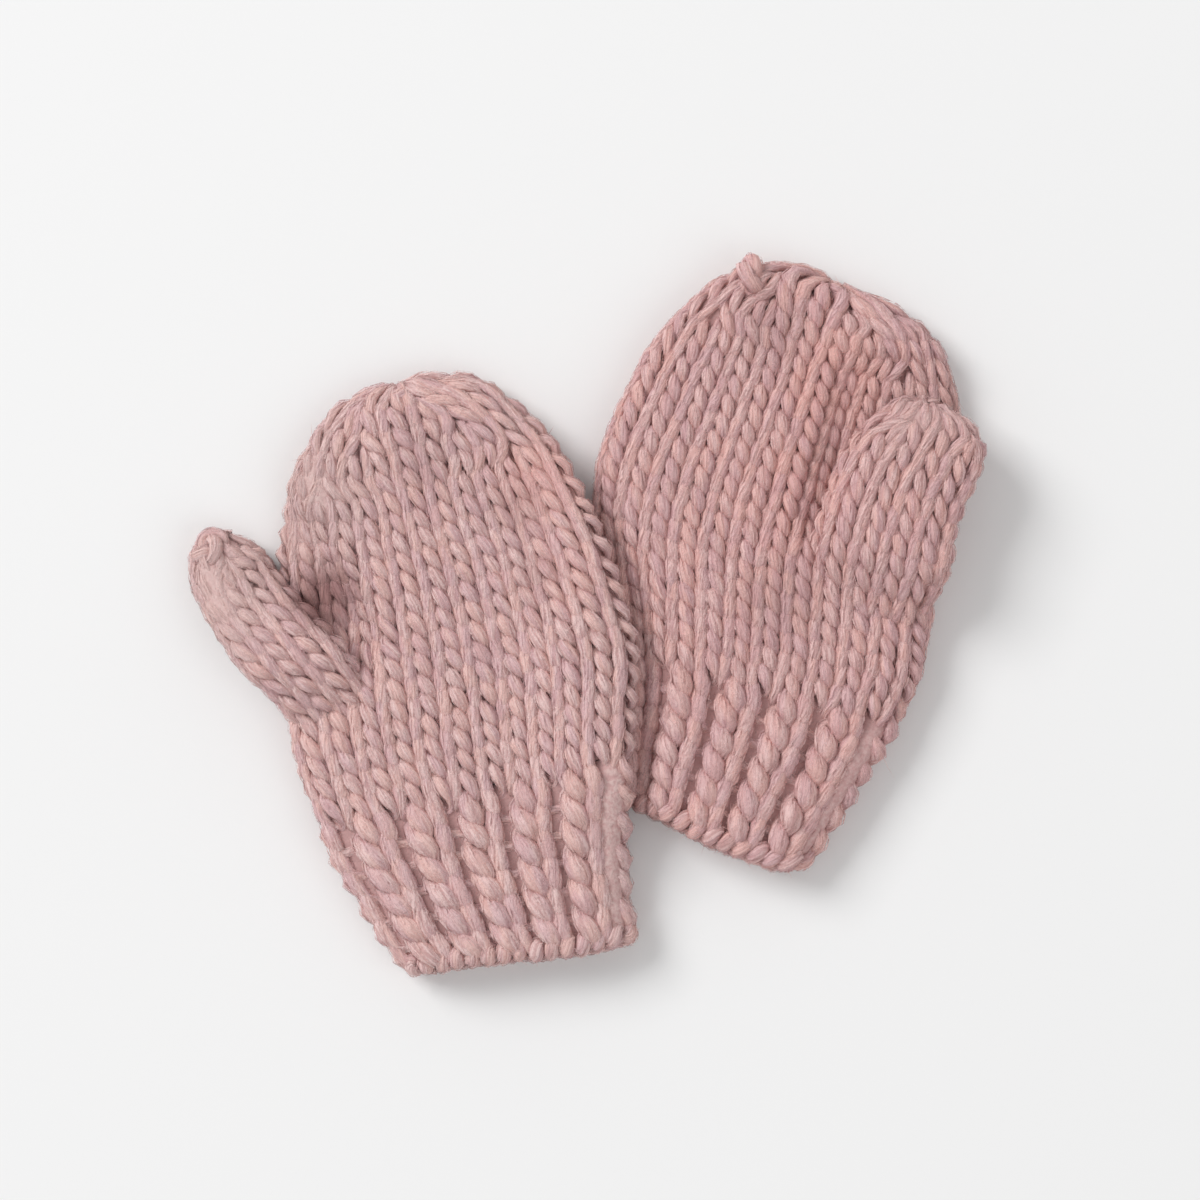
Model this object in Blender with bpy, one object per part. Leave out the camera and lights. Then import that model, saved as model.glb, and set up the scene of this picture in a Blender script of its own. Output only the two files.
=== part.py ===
"""A pair of chunky hand-knitted mittens for a small child, laid flat on a surface.

The left mitten's right side lies over the right mitten's left side. Each mitten is three pieces of
knitting: a ribbed cuff, a hand that closes at its tip, and a thumb. Every piece is a tube of cloth
pressed flat, with an even wall round an empty inside, open at its lower end.

Sizes are in millimetres. Each mitten is drawn in its own frame: x runs across it and y along it,
from the middle of its cuff's edge to the tip of the hand.
"""

import math
from collections import namedtuple

import bmesh
import bpy
import numpy as np

MM = 0.001

# the cloth
WALL = 4.5
SIDE_WALL = 5.0
THUMB_WALL = 3.9
THUMB_SIDE_WALL = 4.2
LEAST_HOLLOW = 1.6
TRIM_GAP = 0.4
RIB_DEPTH = 1.7
RIBS = 12
EDGE_SCALLOP = 0.8

# how a mitten lies: its full height, the height of its folds as a share of that, and its pressed places
PUFF = 15.5
FOLD_SHARE = 0.4
UNDERSIDE_ROUNDING = 1.3
NARROW_HALF_WIDTH = 6.0
WIDE_HALF_WIDTH = 30.0
GROOVES_START_ABOVE = 0.5
PRESSED_UNDER_MITTEN = 10.0
PRESSED_UNDER_THUMB = 10.0
OVERLAP_GAP = 0.4
OVERLAP_THINNING = 4.0
LIFT_RUN = (-22.0, 3.0)
PRESS_RUN = (-9.0, -1.0)

# how finely each tube is divided
ROUND_HAND = 38
ROUND_CUFF = 72
ROUND_THUMB = 30
ALONG_HAND = 22
ALONG_CUFF = 7
ALONG_THUMB = 13
FINE_RING = 360
INNER_TIP_REACH = 1.2

# the way from the hand into the thumb: its courses, and how far it stays above the back wall
WAY_COURSES = 6
WAY_CLEARANCE = 1.2

# A tube's cloth: its wall on the flat, at its folds and at its tip, and how finely it is divided.
Cloth = namedtuple("Cloth", "wall side tip around along")
HAND_CLOTH = Cloth(wall=WALL, side=SIDE_WALL, tip=4.0, around=ROUND_HAND, along=ALONG_HAND)
THUMB_CLOTH = Cloth(
    wall=THUMB_WALL, side=THUMB_SIDE_WALL, tip=2.0, around=ROUND_THUMB, along=ALONG_THUMB
)

Place = namedtuple("Place", "x y lean")
LEFT_PLACE = Place(x=-16.1, y=-87.2, lean=12.3)
RIGHT_PLACE = Place(x=28.0, y=-53.6, lean=-15.2)

# One row for each course: its middle's place along, its two folds, and its underside and top.
Course = namedtuple("Course", "mid left_x left_y right_x right_y under top")

LEFT_CUFF = [
    Course(mid=0.0, left_x=-29.0, left_y=0.0, right_x=29.5, right_y=0.0, under=0, top=14.5),
    Course(mid=5.0, left_x=-31.5, left_y=4.5, right_x=29.8, right_y=5.0, under=0, top=15.2),
    Course(mid=12.0, left_x=-34.8, left_y=12.0, right_x=30.7, right_y=12.5, under=0, top=15.5),
    Course(mid=20.0, left_x=-37.5, left_y=20.0, right_x=32.0, right_y=20.0, under=0, top=15.5),
    Course(mid=28.0, left_x=-40.8, left_y=28.5, right_x=34.5, right_y=28.5, under=0, top=15.5),
    Course(mid=36.0, left_x=-43.2, left_y=37.0, right_x=37.3, right_y=37.0, under=0, top=15.5),
    Course(mid=44.7, left_x=-44.0, left_y=45.7, right_x=39.4, right_y=45.7, under=0, top=15.5),
]
LEFT_HAND = [
    Course(mid=45.0, left_x=-44.0, left_y=46.0, right_x=39.5, right_y=46.0, under=0, top=15.5),
    Course(mid=57.0, left_x=-46.0, left_y=58.0, right_x=42.8, right_y=58.0, under=0, top=15.5),
    Course(mid=69.0, left_x=-46.2, left_y=71.0, right_x=46.0, right_y=71.0, under=0, top=15.5),
    Course(mid=80.0, left_x=-45.0, left_y=83.0, right_x=46.4, right_y=83.0, under=0, top=15.5),
    Course(mid=91.0, left_x=-43.0, left_y=95.0, right_x=45.0, right_y=95.0, under=0, top=15.5),
    Course(mid=101.0, left_x=-41.0, left_y=106.0, right_x=43.0, right_y=106.0, under=0, top=15.5),
    Course(mid=110.0, left_x=-39.8, left_y=114.5, right_x=40.8, right_y=115.0, under=0, top=15.5),
    Course(mid=119.0, left_x=-36.6, left_y=123.5, right_x=37.2, right_y=126.0, under=0, top=15.3),
    Course(mid=127.0, left_x=-32.3, left_y=132.2, right_x=33.0, right_y=134.0, under=0, top=15.0),
    Course(mid=134.0, left_x=-27.2, left_y=139.6, right_x=27.5, right_y=141.5, under=0, top=14.5),
    Course(mid=140.0, left_x=-20.6, left_y=146.2, right_x=20.5, right_y=148.2, under=0, top=13.5),
    Course(mid=145.0, left_x=-12.0, left_y=150.8, right_x=11.5, right_y=151.4, under=0, top=12.0),
    Course(mid=148.5, left_x=-4.5, left_y=152.0, right_x=4.5, right_y=152.3, under=1.5, top=10.5),
]
LEFT_THUMB = [
    Course(mid=69.0, left_x=-44.0, left_y=68.0, right_x=-20.0, right_y=70.0, under=0.8, top=13.5),
    Course(mid=78.0, left_x=-49.0, left_y=78.0, right_x=-23.5, right_y=79.0, under=5.5, top=18.0),
    Course(mid=86.0, left_x=-54.5, left_y=86.5, right_x=-26.5, right_y=87.5, under=8.6, top=21.2),
    Course(mid=94.5, left_x=-58.5, left_y=95.5, right_x=-31.3, right_y=96.0, under=7.8, top=20.8),
    Course(mid=103.0, left_x=-61.6, left_y=104.5, right_x=-36.6, right_y=103.5, under=4.4, top=18.0),
    Course(mid=110.0, left_x=-63.1, left_y=111.5, right_x=-40.2, right_y=110.5, under=1.0, top=15.0),
    Course(mid=115.8, left_x=-62.2, left_y=118.0, right_x=-42.8, right_y=116.2, under=0, top=14.0),
    Course(mid=120.6, left_x=-60.0, left_y=122.6, right_x=-47.3, right_y=121.6, under=0, top=12.0),
]
RIGHT_CUFF = [
    Course(mid=-2.0, left_x=-29.0, left_y=3.5, right_x=30.3, right_y=-2.5, under=0, top=14.5),
    Course(mid=4.0, left_x=-31.0, left_y=8.5, right_x=33.0, right_y=4.0, under=0, top=15.2),
    Course(mid=12.0, left_x=-33.0, left_y=15.5, right_x=36.0, right_y=13.0, under=0, top=15.5),
    Course(mid=21.0, left_x=-35.2, left_y=23.5, right_x=39.0, right_y=22.0, under=0, top=15.5),
    Course(mid=31.0, left_x=-38.0, left_y=32.5, right_x=42.0, right_y=31.5, under=0, top=15.5),
    Course(mid=40.7, left_x=-41.0, left_y=41.7, right_x=44.2, right_y=41.2, under=0, top=15.5),
]
RIGHT_HAND = [
    Course(mid=41.0, left_x=-41.1, left_y=42.0, right_x=44.3, right_y=41.5, under=0, top=15.5),
    Course(mid=52.0, left_x=-44.3, left_y=53.5, right_x=46.0, right_y=53.0, under=0, top=15.5),
    Course(mid=63.0, left_x=-46.8, left_y=65.0, right_x=45.2, right_y=64.0, under=0, top=15.5),
    Course(mid=73.0, left_x=-48.2, left_y=75.5, right_x=44.0, right_y=74.5, under=0, top=15.5),
    Course(mid=83.0, left_x=-48.5, left_y=85.5, right_x=43.6, right_y=85.0, under=0, top=15.5),
    Course(mid=92.0, left_x=-47.8, left_y=95.0, right_x=43.0, right_y=95.0, under=0, top=15.5),
    Course(mid=101.0, left_x=-46.3, left_y=104.0, right_x=42.0, right_y=104.0, under=0, top=15.5),
    Course(mid=109.0, left_x=-44.5, left_y=112.5, right_x=40.5, right_y=112.5, under=0, top=15.5),
    Course(mid=117.0, left_x=-41.2, left_y=121.5, right_x=38.0, right_y=121.0, under=0, top=15.3),
    Course(mid=124.5, left_x=-36.8, left_y=129.5, right_x=34.0, right_y=128.8, under=0, top=15.0),
    Course(mid=131.0, left_x=-31.3, left_y=137.5, right_x=28.5, right_y=135.9, under=0, top=14.5),
    Course(mid=137.0, left_x=-23.0, left_y=144.0, right_x=20.5, right_y=141.0, under=0, top=13.5),
    Course(mid=141.5, left_x=-12.5, left_y=146.8, right_x=11.0, right_y=143.6, under=0, top=12.0),
    Course(mid=144.0, left_x=-5.0, left_y=147.2, right_x=4.5, right_y=145.0, under=1.5, top=10.5),
]
RIGHT_THUMB = [
    Course(mid=60.0, left_x=14.5, left_y=60.5, right_x=42.0, right_y=60.5, under=1.2, top=12.6),
    Course(mid=69.5, left_x=11.8, left_y=70.5, right_x=44.4, right_y=71.0, under=5.0, top=18.0),
    Course(mid=78.5, left_x=9.0, left_y=79.5, right_x=46.0, right_y=79.5, under=10.8, top=23.4),
    Course(mid=88.0, left_x=9.4, left_y=89.0, right_x=45.3, right_y=89.0, under=10.8, top=24.0),
    Course(mid=97.0, left_x=10.4, left_y=98.0, right_x=45.4, right_y=98.0, under=10.8, top=24.0),
    Course(mid=105.0, left_x=12.3, left_y=106.3, right_x=47.0, right_y=106.0, under=10.8, top=23.8),
    Course(mid=112.0, left_x=16.0, left_y=113.2, right_x=46.4, right_y=112.6, under=10.8, top=22.8),
    Course(mid=117.0, left_x=19.8, left_y=118.6, right_x=42.6, right_y=117.7, under=10.9, top=20.5),
    Course(mid=120.2, left_x=24.0, left_y=121.8, right_x=36.5, right_y=120.8, under=11.3, top=18.5),
]

# Where a tube's last course is drawn together.
Tip = namedtuple("Tip", "x y z")
LEFT_HAND_TIP = Tip(x=0.0, y=152.0, z=6.5)
RIGHT_HAND_TIP = Tip(x=0.0, y=146.4, z=6.5)
LEFT_THUMB_TIP = Tip(x=-55.5, y=125.4, z=6.0)
RIGHT_THUMB_TIP = Tip(x=30.0, y=122.6, z=15.0)

# Where a thumb presses the hand under it: a rounded oblong, with its sizes from its middle.
Pressed = namedtuple("Pressed", "x y half_x half_y lean")
UNDER_LEFT_THUMB = Pressed(x=-41.0, y=101.5, half_x=18.5, half_y=26.0, lean=20.0)
UNDER_RIGHT_THUMB = Pressed(x=28.5, y=102.5, half_x=23.5, half_y=28.6, lean=0.0)
PRESS_EDGE = (0.8, 1.16)

# The cuff's edge swings a little to either side of straight: the height of the swing.
LEFT_EDGE_SWING = 1.8
RIGHT_EDGE_SWING = 1.2
SWING_TURNS = 0.375

# The hand's outline turns inward about this point, which its inner wall is drawn in towards.
CROWN_MIDDLE = 112.0
COURSE_BEND = math.radians(62)

Wool = namedtuple("Wool", "red green blue")
LEFT_WOOL = Wool(0.53, 0.32, 0.31)
RIGHT_WOOL = Wool(0.50, 0.29, 0.28)


def smoothstep(low, high, value):
    """0 below low and 1 above high, with an even ease between them."""
    share = np.clip((value - low) / (high - low), 0.0, 1.0)
    return share * share * (3 - 2 * share)


def to_world(place, x, y):
    """A mitten's own x and y on the surface it lies on."""
    lean = math.radians(place.lean)
    across, along = math.cos(lean), math.sin(lean)
    return place.x + x * across - y * along, place.y + x * along + y * across


def to_mitten(place, x, y):
    """A place on the surface in a mitten's own x and y."""
    lean = math.radians(place.lean)
    across, along = math.cos(lean), math.sin(lean)
    dx, dy = x - place.x, y - place.y
    return dx * across + dy * along, dy * across - dx * along


def smooth_courses(table, count):
    """count courses spread evenly along a table, on smooth curves through its rows."""
    rows = np.array(table, float)
    at = np.linspace(0, len(rows) - 1, count)
    start = np.minimum(at.astype(int), len(rows) - 2)
    t = (at - start)[:, None]
    before = rows[np.maximum(start - 1, 0)]
    here, there = rows[start], rows[start + 1]
    after = rows[np.minimum(start + 2, len(rows) - 1)]
    bend_in, bend_out = (there - before) / 2, (after - here) / 2
    curve = here * (2 * t**3 - 3 * t**2 + 1) + there * (3 * t**2 - 2 * t**3)
    curve = curve + bend_in * (t**3 - 2 * t**2 + t) + bend_out * (t**3 - t**2)
    courses = [Course(*row) for row in curve]
    return [course._replace(under=max(0.0, course.under)) for course in courses]


def drawn_in(course, inset):
    """A course with its folds moved towards the middle of the tube by inset."""
    middle_x = (course.left_x + course.right_x) / 2
    turn_y = min(CROWN_MIDDLE, course.mid)
    left = np.array([middle_x - course.left_x, min(0.0, turn_y - course.left_y)])
    right = np.array([middle_x - course.right_x, min(0.0, turn_y - course.right_y)])
    if course.mid < CROWN_MIDDLE:
        left[1] = right[1] = 0.0
    left = left / np.linalg.norm(left) * inset
    right = right / np.linalg.norm(right) * inset
    return course._replace(
        left_x=course.left_x + left[0],
        left_y=course.left_y + left[1],
        right_x=course.right_x + right[0],
        right_y=course.right_y + right[1],
    )


def across_course(course, s):
    """x and y along a course, with s from -1 at its left fold to 1 at its right one."""
    across = np.sin(COURSE_BEND * s) / math.sin(COURSE_BEND)
    share = (across + 1) / 2
    dip = (np.cos(COURSE_BEND * s) - math.cos(COURSE_BEND)) / (1 - math.cos(COURSE_BEND))
    sag = (course.left_y + course.right_y) / 2 - course.mid
    x = course.left_x + (course.right_x - course.left_x) * share
    y = course.left_y + (course.right_y - course.left_y) * share - dip * sag
    return x, y


def flat_section(half_width):
    """s and height share round a tube laid flat, over the front from right to left and back under."""
    wide = (half_width - NARROW_HALF_WIDTH) / (WIDE_HALF_WIDTH - NARROW_HALF_WIDTH)
    power = 2.0 + min(1.0, max(0.0, wide))
    turn = np.linspace(0, 2 * math.pi, FINE_RING, endpoint=False)
    along, up = np.cos(turn), np.sin(turn)
    s = np.sign(along) * np.abs(along) ** (2 / power)
    rise = np.abs(up) ** (2 / power)
    front = FOLD_SHARE + (1 - FOLD_SHARE) * rise
    under = FOLD_SHARE * (1 - np.minimum(1.0, UNDERSIDE_ROUNDING * rise))
    return s, np.where(up >= 0, front, under)


def evenly_round(ring, count):
    """count points spaced evenly round a closed ring, the first one kept."""
    closed = np.vstack([ring, ring[:1]])
    steps = np.linalg.norm(np.diff(closed, axis=0), axis=1)
    length = np.concatenate([[0.0], np.cumsum(steps)])
    wanted = np.linspace(0, length[-1], count, endpoint=False)
    return np.column_stack([np.interp(wanted, length, closed[:, i]) for i in range(3)])


def pressed_share(pressed, x, y):
    """How far a thumb presses the hand at a place, from 0 to 1."""
    lean = math.radians(pressed.lean)
    dx, dy = x - pressed.x, y - pressed.y
    across = dx * math.cos(lean) + dy * math.sin(lean)
    along = dy * math.cos(lean) - dx * math.sin(lean)
    out = (np.abs(across / pressed.half_x) ** 4 + np.abs(along / pressed.half_y) ** 4) ** 0.25
    return 1 - smoothstep(PRESS_EDGE[0], PRESS_EDGE[1], out)


def right_side_depth(x, y):
    """How far a place lies inside the left mitten's right side, in its own frame."""
    rows = LEFT_CUFF + LEFT_HAND
    side = np.interp(y, [row.right_y for row in rows], [row.right_x for row in rows])
    return side - x


def left_corner_depth(x, y):
    """How far a place lies inside the right mitten's left side and cuff edge, in its own frame."""
    rows = RIGHT_CUFF + RIGHT_HAND
    side = np.interp(y, [row.left_y for row in rows], [row.left_x for row in rows])
    inward, upward = x - side, y - RIGHT_CUFF[0].left_y
    inside = np.minimum(inward, upward)
    outside = -np.hypot(np.minimum(inward, 0.0), np.minimum(upward, 0.0))
    return np.where(inside > 0, inside, outside)


def left_lift(x, y):
    """How far the right mitten raises the left one at a place, as a share of the whole lift."""
    corner = to_mitten(RIGHT_PLACE, *to_world(LEFT_PLACE, x, y))
    return smoothstep(LIFT_RUN[0], LIFT_RUN[1], left_corner_depth(*corner))


def right_press(x, y):
    """How far the left mitten presses the right one at a place, from 0 to 1."""
    side = to_mitten(LEFT_PLACE, *to_world(RIGHT_PLACE, x, y))
    return smoothstep(PRESS_RUN[0], PRESS_RUN[1], right_side_depth(*side))


def left_levels(course, x, y):
    """The underside and the height of the left mitten's cuff or hand at a place."""
    lift = left_lift(x, y)
    height = course.top - course.under - OVERLAP_THINNING * lift
    under_thumb = pressed_share(UNDER_LEFT_THUMB, x, y)
    height = height + (np.minimum(height, PRESSED_UNDER_THUMB) - height) * under_thumb
    return course.under + (PRESSED_UNDER_MITTEN + OVERLAP_GAP) * lift, height


def right_levels(course, x, y):
    """The underside and the height of the right mitten's cuff or hand at a place."""
    height = np.full_like(x, course.top - course.under)
    under_left = right_press(x, y)
    height = height + (np.minimum(height, PRESSED_UNDER_MITTEN) - height) * under_left
    under_thumb = pressed_share(UNDER_RIGHT_THUMB, x, y)
    height = height + (np.minimum(height, PRESSED_UNDER_THUMB) - height) * under_thumb
    return np.full_like(x, course.under), height


def thumb_levels(course, x, y):
    """The underside and the height of a thumb."""
    return np.full_like(x, course.under), np.full_like(x, course.top - course.under)


def ring_at(course, levels, count, inset=0.0, wall=0.0):
    """Points round one course of a tube, drawn in by inset at its folds and by wall above and below."""
    course = drawn_in(course, inset)
    s, share = flat_section((course.right_x - course.left_x) / 2)
    x, y = across_course(course, s)
    under, height = levels(course, x, y)
    z = under + wall + (height - 2 * wall) * share
    return evenly_round(np.column_stack([x, y, z]), count)


def inner_courses(courses, cloth):
    """The courses of a tube's inside, which ends a wall short of its tip."""
    least = 2 * cloth.wall + LEAST_HOLLOW
    end = courses[-1].mid - cloth.tip
    return [course for course in courses if course.top - course.under > least and course.mid < end]


def swung_edge(ring, course, reach, swing):
    """A cuff's ring with its swinging, scalloped edge, which fades out up the cuff."""
    half = (course.right_x - course.left_x) / 2
    s = (ring[:, 0] - (course.right_x + course.left_x) / 2) / half
    scallop = EDGE_SCALLOP * np.cos(rib_turn(len(ring)))
    moved = ring.copy()
    moved[:, 1] -= reach * (swing * np.sin(2 * math.pi * SWING_TURNS * s) + scallop)
    return moved


def rib_turn(count):
    """The angle of the ribs at each point round a cuff, with a rib's crest where it is 0."""
    return 2 * math.pi * RIBS * np.arange(count) / count


def outwards(ring):
    """The outward direction at each point of a ring, square to the tube's length."""
    along = np.roll(ring, -1, axis=0) - np.roll(ring, 1, axis=0)
    out = np.column_stack([along[:, 2], np.zeros(len(ring)), -along[:, 0]])
    return out / np.linalg.norm(out, axis=1)[:, None]


def ribbed(ring, under):
    """A cuff's outer ring with its grooves pressed in, but not where it rests."""
    groove = (1 - np.cos(rib_turn(len(ring)))) / 2
    clear = smoothstep(GROOVES_START_ABOVE, FOLD_SHARE * PUFF, ring[:, 2] - under)
    return ring + outwards(ring) * (-RIB_DEPTH * groove * clear)[:, None]


def tube_faces(outer_count, inner_count, count, open_tip):
    """Faces of a double-walled tube whose rings are listed outer first, from its open end."""
    faces = []

    def strip(low, high, outwards):
        for i in range(count):
            j = (i + 1) % count
            quad = (low + i, low + j, high + j, high + i)
            faces.append(quad if outwards else quad[::-1])

    for k in range(outer_count - 1):
        strip(k * count, (k + 1) * count, True)
    inner = outer_count * count
    for k in range(inner_count - 1):
        strip(inner + k * count, inner + (k + 1) * count, False)
    strip(inner, 0, True)
    if open_tip:
        strip((outer_count - 1) * count, inner + (inner_count - 1) * count, True)
    return faces


def cap_faces(start, count, point, outwards):
    """A fan from the ring that begins at start to one point."""
    fan = [(start + i, start + (i + 1) % count, point) for i in range(count)]
    return fan if outwards else [face[::-1] for face in fan]


def new_object(name, points, faces, place, collection):
    """A mesh object from points in a mitten's frame, given in world place and in metres."""
    points = np.asarray(points, float)
    x, y = to_world(place, points[:, 0], points[:, 1])
    world = np.column_stack([x, y, points[:, 2]]) * MM
    mesh = bpy.data.meshes.new(name)
    mesh.from_pydata([tuple(point) for point in world], [], faces)
    edit = bmesh.new()
    edit.from_mesh(mesh)
    bmesh.ops.recalc_face_normals(edit, faces=edit.faces)
    bmesh.ops.triangulate(edit, faces=edit.faces)
    edit.to_mesh(mesh)
    edit.free()
    obj = bpy.data.objects.new(name, mesh)
    collection.objects.link(obj)
    return obj


def open_tube(name, table, place, levels, swing, collection):
    """A cuff: a ribbed tube that is open at both ends."""
    courses = smooth_courses(table, ALONG_CUFF)
    rings = []
    for k, course in enumerate(courses):
        reach = (1 - k / (len(courses) - 1)) ** 2
        ring = ring_at(course, levels, ROUND_CUFF)
        under, _ = levels(course, ring[:, 0], ring[:, 1])
        rings.append(swung_edge(ribbed(ring, under), course, reach, swing))
    inside = smooth_courses(table, ALONG_CUFF // 2 + 1)
    for k, course in enumerate(inside):
        reach = (1 - k / (len(inside) - 1)) ** 2
        ring = ring_at(course, levels, ROUND_CUFF, SIDE_WALL, WALL)
        rings.append(swung_edge(ring, course, reach, swing))
    faces = tube_faces(len(courses), len(inside), ROUND_CUFF, True)
    return new_object(name, np.vstack(rings), faces, place, collection)


def closed_tube(name, table, tip, place, levels, cloth, collection):
    """A hand or a thumb: a tube that is open at its lower end and closed at its tip."""
    around = cloth.around
    courses = smooth_courses(table, cloth.along)
    inside = inner_courses(courses, cloth)
    rings = [ring_at(course, levels, around) for course in courses]
    rings += [ring_at(course, levels, around, cloth.side, cloth.wall) for course in inside]
    last = drawn_in(inside[-1], cloth.side)
    inner_y = min(tip.y - cloth.side, (last.left_y + last.right_y) / 2 + INNER_TIP_REACH)
    inner_x = (last.left_x + last.right_x) / 2
    inner_z = np.mean(rings[-1][:, 2])
    faces = tube_faces(len(courses), len(inside), around, False)
    points = np.vstack(rings + [[[tip.x, tip.y, tip.z]], [[inner_x, inner_y, inner_z]]])
    total = (len(courses) + len(inside)) * around
    faces += cap_faces((len(courses) - 1) * around, around, total, True)
    faces += cap_faces(total - around, around, total + 1, False)
    return new_object(name, points, faces, place, collection)


def solid_tube(name, rings, tip, place, collection):
    """A closed form through the given rings, for cutting."""
    count = len(rings[0])
    faces = []
    for k in range(len(rings) - 1):
        for i in range(count):
            j = (i + 1) % count
            faces.append((k * count + i, k * count + j, (k + 1) * count + j, (k + 1) * count + i))
    total = len(rings) * count
    points = np.vstack(rings + [[np.mean(rings[0], axis=0)], [[tip.x, tip.y, tip.z]]])
    faces += cap_faces(0, count, total, False)
    faces += cap_faces(total - count, count, total + 1, True)
    cutter = new_object(name, points, faces, place, collection)
    cutter.hide_render = True
    cutter.display_type = "WIRE"
    return cutter


def hand_form(name, table, tip, place, levels, collection):
    """The hand's outer form grown by the gap at a seam, which a thumb is trimmed to."""
    rings = [ring_at(course, levels, ROUND_HAND) for course in smooth_courses(table, ALONG_HAND)]
    grown = [ring + outwards(ring) * TRIM_GAP for ring in rings]
    return solid_tube(name, grown, tip._replace(y=tip.y + TRIM_GAP), place, collection)


def thumb_way(name, table, place, collection):
    """The way through the hand's front wall into a thumb, as wide as the thumb's inside."""
    courses = smooth_courses(table, ALONG_THUMB)[:WAY_COURSES]
    rings = []
    for course in courses:
        ring = ring_at(course, thumb_levels, ROUND_THUMB, THUMB_CLOTH.side, THUMB_CLOTH.wall)
        ring[:, 2] = np.maximum(ring[:, 2], WALL + WAY_CLEARANCE)
        rings.append(ring)
    end = Tip(*np.mean(rings[-1], axis=0))
    return solid_tube(name, rings, end, place, collection)


def cut(obj, cutter):
    """Takes the cutter's form out of an object."""
    step = obj.modifiers.new(cutter.name, "BOOLEAN")
    step.operation = "DIFFERENCE"
    step.solver = "EXACT"
    step.object = cutter


def knit_material(name, wool):
    """A dull wool in the mitten's colour."""
    material = bpy.data.materials.new(name)
    material.use_nodes = True
    shader = material.node_tree.nodes["Principled BSDF"]
    shader.inputs["Base Color"].default_value = (*wool, 1.0)
    shader.inputs["Roughness"].default_value = 0.95
    shader.inputs["Metallic"].default_value = 0.0
    return material


def finish(obj, wool):
    """Gives a piece its own material and smooth shading with its sharp rims kept."""
    obj.data.materials.append(knit_material(f"{obj.name}_wool", wool))
    obj.data.shade_smooth()
    obj.data.set_sharp_from_angle(angle=math.radians(50))


def build_mitten(side, place, levels, tables, tips, swing, wool, parts, cutters):
    """One mitten: cuff, hand and thumb, with the way from the hand into the thumb."""
    cuff_table, hand_table, thumb_table = tables
    hand_tip, thumb_tip = tips
    cuff = open_tube(f"{side}_cuff", cuff_table, place, levels, swing, parts)
    hand = closed_tube(f"{side}_hand", hand_table, hand_tip, place, levels, HAND_CLOTH, parts)
    thumb = closed_tube(
        f"{side}_thumb", thumb_table, thumb_tip, place, thumb_levels, THUMB_CLOTH, parts
    )
    form = hand_form(f"{side}_hand_form", hand_table, hand_tip, place, levels, cutters)
    way = thumb_way(f"{side}_thumb_way", thumb_table, place, cutters)
    cut(thumb, form)
    cut(hand, way)
    for piece in (cuff, hand, thumb):
        finish(piece, wool)


def clear_scene():
    """Starts from an empty file."""
    for obj in list(bpy.data.objects):
        bpy.data.objects.remove(obj, do_unlink=True)


def main():
    clear_scene()
    parts = bpy.data.collections.new("knitted_mittens")
    cutters = bpy.data.collections.new("cutters")
    bpy.context.scene.collection.children.link(parts)
    bpy.context.scene.collection.children.link(cutters)
    build_mitten(
        "left", LEFT_PLACE, left_levels, (LEFT_CUFF, LEFT_HAND, LEFT_THUMB),
        (LEFT_HAND_TIP, LEFT_THUMB_TIP), LEFT_EDGE_SWING, LEFT_WOOL, parts, cutters,
    )
    build_mitten(
        "right", RIGHT_PLACE, right_levels, (RIGHT_CUFF, RIGHT_HAND, RIGHT_THUMB),
        (RIGHT_HAND_TIP, RIGHT_THUMB_TIP), RIGHT_EDGE_SWING, RIGHT_WOOL, parts, cutters,
    )


main()
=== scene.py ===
"""Looks of a pair of chunky hand-knitted mittens for a small child, laid flat and overlapping.

Every stitch is a loop of real yarn, carried over the middle of the cloth that the solids give.
Sizes in the tables are in millimetres, in each mitten's own frame: x across it and y along it, from
the middle of its cuff's edge to its tip. Meshes are written in metres, in the frame of the solids.
"""

import math
from collections import namedtuple

import bpy
import numpy as np
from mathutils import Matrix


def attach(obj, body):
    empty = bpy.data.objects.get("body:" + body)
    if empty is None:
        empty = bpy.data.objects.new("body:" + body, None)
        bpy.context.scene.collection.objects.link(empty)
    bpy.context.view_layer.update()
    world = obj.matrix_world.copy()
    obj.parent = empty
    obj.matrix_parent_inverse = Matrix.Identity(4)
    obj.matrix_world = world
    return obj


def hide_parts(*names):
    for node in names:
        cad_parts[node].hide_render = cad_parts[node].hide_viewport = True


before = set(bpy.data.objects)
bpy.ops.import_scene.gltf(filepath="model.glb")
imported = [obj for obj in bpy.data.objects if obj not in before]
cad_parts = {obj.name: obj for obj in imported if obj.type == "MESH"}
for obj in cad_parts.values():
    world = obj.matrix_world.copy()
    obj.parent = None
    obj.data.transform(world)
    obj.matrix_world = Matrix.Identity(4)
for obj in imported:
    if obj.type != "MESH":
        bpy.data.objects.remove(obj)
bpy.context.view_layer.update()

MM = 0.001
TURN = 2 * math.pi

# how the photograph is framed: its width on the floor, the point under its middle, the camera's height
PHOTO_WIDTH = 0.3077
PHOTO_MIDDLE = (0.0037, 0.0044)
CAMERA_HEIGHT = 1.3
AIM_HEIGHT = 0.010
SENSOR = 36.0

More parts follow.
